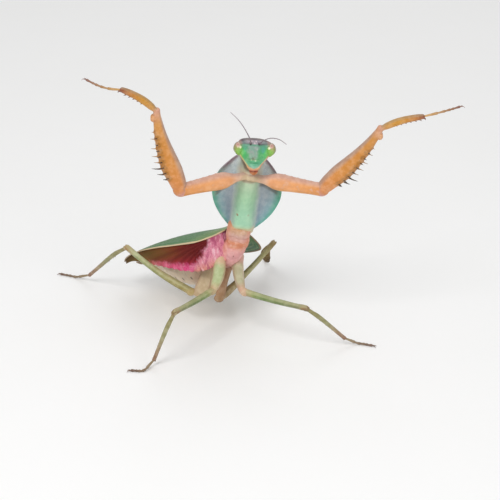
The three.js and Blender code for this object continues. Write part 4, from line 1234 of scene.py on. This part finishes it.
# Head capsule: [height, half width, depth of the face, depth behind, forward shift].
HEAD_ROWS = [
    [-5.9, 0.7, 0.45, 0.6, 0.45], [-5.6, 1.15, 0.8, 0.8, 0.4], [-5.0, 1.65, 1.05, 1.1, 0.35],
    [-4.2, 2.2, 1.3, 1.4, 0.25], [-3.2, 2.95, 1.6, 1.75, 0.15], [-2.2, 3.75, 1.8, 1.95, 0.05],
    [-1.2, 4.35, 1.95, 2.05, 0], [-0.2, 4.5, 2.05, 2.15, -0.05], [0.8, 4.5, 2.05, 2.1, -0.1],
    [1.6, 4.55, 1.9, 1.95, -0.2], [2.15, 4.5, 1.55, 1.65, -0.35], [2.55, 3.95, 1.2, 1.35, -0.5],
    [2.9, 3.05, 0.75, 1.0, -0.7], [3.12, 1.85, 0.35, 0.5, -0.8],
]
SOCKETS = ((-1.2, 1.9), (1.2, 1.9))
OCELLI = ((0.0, 2.05), (-0.62, 2.5), (0.62, 2.5))


def head_rings(steps=190, sides=176):
    low, high = HEAD_ROWS[0][0], HEAD_ROWS[-1][0]
    height = low + (high - low) * (0.5 - 0.5 * np.cos(np.pi * np.linspace(0, 1, steps)))[:, None]
    wide, front, behind, shift = np.moveaxis(smooth_table(HEAD_ROWS, height), -1, 0)
    c, s = np.cos(around(sides)), np.sin(around(sides))
    x = wide * np.sign(c) * np.abs(c) ** 0.9
    depth = np.where(s > 0, front, behind)
    y = shift + depth * np.sign(s) * np.abs(s) ** np.where(s > 0, 0.66, 0.9)
    z = np.broadcast_to(height, x.shape)
    ahead = ease(s, 0.05, 0.4)
    off = np.abs(x)
    # The raised shield of the face, with a shallow hollow at either side.
    half = 1.5 - 0.2 * ease(z, 0.4, 1.5) + 0.15 * ease(z, -0.6, -1.8)
    plateau = ease(off, half + 0.25, half - 0.2) * ease(z, -2.45, -2.05) * ease(z, 1.6, 1.1)
    lift = 0.13 * plateau + 0.08 * bump(off, 0.6, 0.3) * plateau
    lift -= 0.12 * bump(off, half + 0.75, 0.45) * ease(z, -2.6, -1.6) * ease(z, 1.6, 0.6)
    # Clypeus and labrum, each a rounded flap under a groove.
    flap = 1.9 + 0.42 * (z + 2.2)
    lift += 0.16 * ease(off, flap + 0.15, flap - 0.35) * ease(z, -2.3, -2.7) * ease(z, -3.6, -3.2)
    lift -= 0.1 * bump(z, -2.35 - 0.04 * x**2, 0.11) * ease(off, 2.2, 1.6)
    flap = 1.35 * np.sqrt(np.clip(1 - ((z + 3.55) / 1.55) ** 2, 0, 1))
    tongue = ease(off, flap + 0.12, flap - 0.25) * ease(z, -3.5, -3.75)
    lift += 0.3 * tongue
    lift -= 0.1 * bump(z, -3.5, 0.1) * ease(off, 1.9, 1.3)
    # Cheeks: a rolled rim along the lower edge, and a hollow beside the mouth.
    lift += 0.1 * bump(wide - off, 0.3, 0.22) * ease(z, -0.8, -1.6) * ease(z, -4.6, -4)
    hollow = bump(off, np.maximum(0.4, 2.25 + 0.6 * (z + 3.2)), 0.2)
    lift -= 0.12 * hollow * ease(z, -2.0, -2.7) * ease(z, -5, -4.4)
    # The crown's two furrows, the low lobes between them, and a crease over the face.
    lift -= 0.1 * bump(off, 2.2, 0.16) * ease(z, 1.6, 2.1)
    lift -= 0.1 * bump(z, 1.62, 0.12) * ease(off, 3.2, 2.6)
    for sx, sz in SOCKETS:
        away = np.hypot(x - sx, z - sz)
        lift += 0.24 * bump(away, 0.4, 0.16) - 0.3 * bump(away, 0, 0.24)
    for ox, oz in OCELLI:
        lift += 0.2 * np.exp(-((np.hypot(x - ox, z - oz) / 0.22) ** 4))
    points = head(x - 0.5 * ease(z, 1.9, 3), y + lift * ahead, z)
    stain = np.clip(tongue * ahead, 0, 1)
    return points, np.stack([x, y, z], axis=-1), stain


def head_paint():
    p = Paint("head_cuticle")
    x, y, z, off = p.x, p.y, p.z, abs(p.x)
    wobble = p.noise(1.2, 4.0) - 0.5
    p.tint = p.ramp(z + wobble * 1.2, "-5.2 8cbca4, -4.3 72b898, -3.5 58b084, -2.6 50aa6e,"
                    "-1 46ae62, 0.4 48a672, 1.6 569a7e")
    p.coat(p.spot(off, z, (3.1, -0.7), (0.3, 0.5), 2.2) * 0.8, "3cba5c")
    teal = p.spot(x, z, (2.4, 0.3), (0.3, 0.5), 1.6)
    teal = teal + p.spot(x, z, (-2.6, 0.4), (0.2, 0.4), 1.6) * 0.4
    p.coat(teal * 0.6, "50a294")
    p.coat(p.ease(off, 2.8, 3.8) * p.ease(z + wobble, 1.0, 0.0) * 0.85, "6cb84a")
    p.coat(p.ease(off, 3.1, 3.9) * p.ease(z + wobble, 0.2, 1.2) * 0.7, "789058")
    # The greyish stripe down the middle of the face, and the small marks on it; the two palest
    # marks low on it are painted highlights.
    side = abs(x + 0.35) + (wobble * 2.2 + p.ease(z, -0.5, -2.2) * 0.25)
    ragged = z + wobble * 1.6
    stripe_and_shade = p.ease(side, 2.15, 0.7) * p.ease(ragged, 1.7, 0.9) * p.ease(ragged, -3.0, -1.7)
    p.coat(stripe_and_shade * 0.78, p.mix(p.ease(p.noise(1), 0.35, 0.65), "84a298", "9c9ca2"))
    for middle, radii, strength, code in (
        ((-0.35, -2.2), (0.16, 0.2), 0.6, "5c6440"), ((0.15, -1.75), (0.12, 0.14), 0.35, "6c6c58"),
        ((-0.75, -2.6), (0.1, 0.1), 0.35, "dce0b4"), ((0.4, -2.8), (0.12, 0.08), 0.55, "ece8cc"),
        ((0.75, 0.5), (0.1, 0.14), 0.4, "c4ccc4"), ((0.05, -2.45), (0.1, 0.1), 0.5, "6a6a40"),
    ):
        p.coat(p.spot(x, z, middle, radii, 2.2) * strength, code)
    # The crown: lilac-grey, greener to the sides, with a dark line below and a dark top.
    line = z + wobble * 0.5
    cloud = p.ease(p.noise(0.8), 0.38, 0.62)
    lilac = p.mix(p.ease(off, 1.6, 2.6), p.mix(cloud, "8c8690", "a89ea8"),
                  p.mix(cloud, "727e80", "8c9092"))
    p.coat(p.ease(line, 1.62, 2.0), lilac)
    p.coat(p.band(line, 1.8, 0.05, 0.2) * p.ease(off, 1.2, 1.9) * 0.5, "4c5c5c")
    p.coat(p.ease(line + p.ease(off, 1.5, 4.2) * 0.42, 2.55, 2.9) * 0.9, "584650")
    p.coat(p.ease(off, 3.2, 4.0) * p.band(z, 2.05, 0.3, 0.5) * 0.8, "b08c84")
    # A thin pale line along each cheek, turning orange round the mouth.
    from_rim = off + (z * -0.77 + wobble * 0.3)
    pale = p.mix(p.ease(x, -0.5, 0.5), "c8b878", "cca080")
    p.coat(p.ease(from_rim, 4.78, 5.0) * p.ease(z, -0.9, -1.6),
           p.mix(p.ease(z, -3.9, -5.0), pale, "d8925c"))
    mouth = p.ease(z + off * -0.33, -5.0, -5.25) * p.ease(p.stain, 0.7, 0.2)
    p.coat(mouth, p.ramp(z, "-5.8 b05038, -5.4 dc9c70, -4.8 e0b080"))
    for place in OCELLI:
        p.coat(p.spot(x, z, place, (0.12, 0.12), 1.0) * 0.9, "e0c8cc")
    for place in SOCKETS:
        p.coat(p.spot(x, z, place, (0.18, 0.26), 1.0) * 0.8, "4a3c46")
    p.coat(p.ease(y, -0.2, -0.9), p.ramp(z, "-5 c89868, -2 6aa468, 1 5a9c64, 3 6a6458"))
    return p.cuticle(0.16, 0.12, 0.36, 0.035)


def eye_rings(sign, steps=96, sides=112):
    """A mantis's eye: a blunt upright cone, fuller above, whose tip points outwards."""
    lean = math.radians(sign * EYE["lean"])
    outwards = (head_left * math.cos(lean) - head_up * math.sin(lean)) * sign
    upwards = head_left * math.sin(lean) + head_up * math.cos(lean)
    wide, deep, below, above = EYE["half"]
    h = np.sin(np.radians(np.linspace(-87, 87, steps)))[:, None]
    power = 1.62 + 0.18 * h
    radius = (1 - np.abs(h) ** power) ** (1 / power)
    out, ahead = radius * np.cos(around(sides)), radius * np.sin(around(sides))
    points = (
        head(*(EYE["place"] * np.array([sign, 1, 1])))
        + outwards * (out * wide)[..., None] + face * (ahead * deep)[..., None]
        + upwards * (h * np.where(h > 0, above, below))[..., None])
    return points, np.stack(np.broadcast_arrays(h, ahead, out), axis=-1)


def eye_paint():
    p = Paint("eye")
    # local: up the eye, towards the face, outwards; each from -1 to 1.
    up, outwards = p.x, p.z
    wobble = (p.noise(1) - 0.5) * 0.35
    p.tint = p.ramp(up + wobble, "-1 84a848, -0.65 80b83c, -0.25 86bc48, 0.12 9cae5c, 0.5 a89c68,"
                    "1 8a7468")
    p.coat(p.ease(outwards + wobble, 0.3, -0.6) * 0.9,
           p.ramp(up, "-1 64b448, 0.1 68b44c, 0.8 6c8c64"))
    p.coat(p.ease(outwards + wobble * 0.6, 0.4, 0.85) * 0.85,
           p.ramp(up, "-1 8c9450, 0 8a8850, 0.7 948064, 1 6c5450"))
    # A pinkish patch, the darker core in it, and a pale painted highlight by the face.
    front = p.ease(p.y, 0, 0.4)
    for middle, radii, soft, strength, code in (
        ((0.62, 0.02), (0.2, 0.24), 1.2, 0.85, "d4a89c"),
        ((0.68, 0.05), (0.06, 0.08), 1.4, 0.6, "a86c68"),
        ((0.27, -0.36), (0.1, 0.12), 1.6, 0.85, "f2f0c4"),
    ):
        p.coat(p.spot(up, outwards, middle, radii, soft) * front * strength, code)
    facets = p.ease(p.cells(0.13, feature="F1"), 0.0, 0.8, 0.0, 1.0)
    return p.finish(0.2, facets, 0.01, 0.35, **{"Coat Weight": 0.5, "Coat Roughness": 0.08})


points, local, stain = head_rings()
capsule = Shape().loft(points, local, 0, stain)
# Neck: a wrinkled membrane from the prothorax to the back of the head.
path = spline([pro(24.5, 0, 0.6), pro(26.8, 0, -0.3), pro(28.4, 0.2, -1.0), head(0, -2.4, -0.2),
               head(0, -0.6, 0)], 60)
crease = 1 + 0.05 * np.sin(np.linspace(0, 26, 60))
rings, local = tube(path, np.linspace(2.2, 1.6, 60) * crease, 32)
capsule.loft(rings, pinned(local, 1, -2))
capsule.build("head", [head_paint()], "head_cuticle", ["head", "neck"])

eye_material = eye_paint()
for name, sign in (("eye_left", 1), ("eye_right", -1)):
    Shape().loft(*eye_rings(sign)).build(name, [eye_material], "eye", [name])


# ---- Feelers and mouthparts ----

ANTENNAE = {
    "right": [(-1.2, 1.3, 1.9), (-1.15, 2.1, 2.3), (-1.3, 2.4, 3.0), (-2.45, 1.9, 5.1),
              (-4.6, 0.6, 7.9), (-7.2, -1.5, 10)],
    "left": [(1.2, 1.3, 1.9), (1.55, 2.1, 2.3), (2.1, 2.4, 2.9), (4.2, 1.6, 3.7),
             (6.6, 0.4, 3.3), (8.8, -1.4, 1.75)],
}
feeler_paint = tip_paint("feeler", "6c5c66", "aca2a8", 0.5)
for side, route in ANTENNAE.items():
    name = f"antenna_{side}"
    share = np.linspace(0, 1, 360)
    beads = 1 + 0.16 * np.sin(share * 2 * np.pi * 38) * ease(share, 0.12, 0.18)
    radius = (0.14 * ease(share, 0.12, 0.08) + 0.17 * (1 - 0.45 * share)) * beads
    path = spline(head(*np.transpose(route)), 360)
    Shape().loft(*tube(path, radius, 14)).build(name, [feeler_paint], "feeler", [name])


def mouth_paint():
    p = Paint("mouthparts")
    # local: x is the height on the head, y the way out from the middle.
    p.tint = p.ramp(p.blur(p.x, 0.4, 0.7), "-7.3 b06c40, -6.6 c47c48, -6.25 b86840, -6 8c2c20,"
                    "-5.8 a84430, -5.5 d48c5c, -4.6 d0a070, -3.8 c8b078")
    return p.cuticle(0.18, 0.15, 0.34, 0.03)


def mouth_part(shape, points, radius, sides=24, steps=60, flat=1.0, beads=0):
    """One mouthpart: a rounded arm through points of the head's frame, painted by height."""
    route = spline(points, steps)
    share = np.linspace(0, 1, steps)
    thick = np.interp(share, np.linspace(0, 1, len(radius)), radius)
    thick = thick * np.sqrt(np.clip(1 - ((share - 0.9) / 0.11).clip(0, 1) ** 2, 0.04, 1))
    if beads:
        thick = thick * (0.84 + 0.24 * np.abs(np.sin(share * np.pi * beads)) ** 0.6)
    rings, _ = tube(head(*route.T), thick, sides, flat, up=face)
    local = np.broadcast_to(
        np.column_stack([route[:, 2], np.abs(route[:, 0]), route[:, 1]])[:, None], rings.shape)
    shape.loft(rings, local)


mouth = Shape()
for sign in (-1, 1):
    # Mandible, in line with the cheek; maxilla, below and behind it; and the jointed palps of
    # maxilla and labium, folded under the chin.
    for points, *radii_and_counts in (
        ([(2.0, 0.1, -3.7), (1.5, 0.3, -4.6), (0.95, 0.5, -5.3), (0.4, 0.65, -5.8)],
         (0.4, 0.5, 0.5, 0.34), 24, 60, 0.9),
        ([(0.9, -0.5, -4.8), (0.75, -0.1, -5.8), (0.35, 0.3, -6.5)], (0.5, 0.48, 0.3)),
        ([(0.8, 0.2, -5.4), (1.0, 0.6, -5.9), (0.75, 0.95, -6.4), (0.35, 1.0, -6.75)],
         (0.2, 0.22, 0.2, 0.15), 14, 90, 1, 4),
        ([(0.25, -0.1, -6.2), (0.4, 0.3, -6.7), (0.2, 0.55, -7.0)],
         (0.19, 0.18, 0.14), 14, 60, 1, 3),
    ):
        mouth_part(mouth, np.array(points) * (sign, 1, 1), *radii_and_counts)
# Labium, the lower lip.
mouth_part(mouth, [(0, -0.2, -5.2), (0, 0.1, -6.1), (0, 0.3, -7.15)], (0.85, 0.72, 0.4), flat=0.7)
mouth.build("mouthparts", [mouth_paint()], "mouthparts", ["mouthparts"])
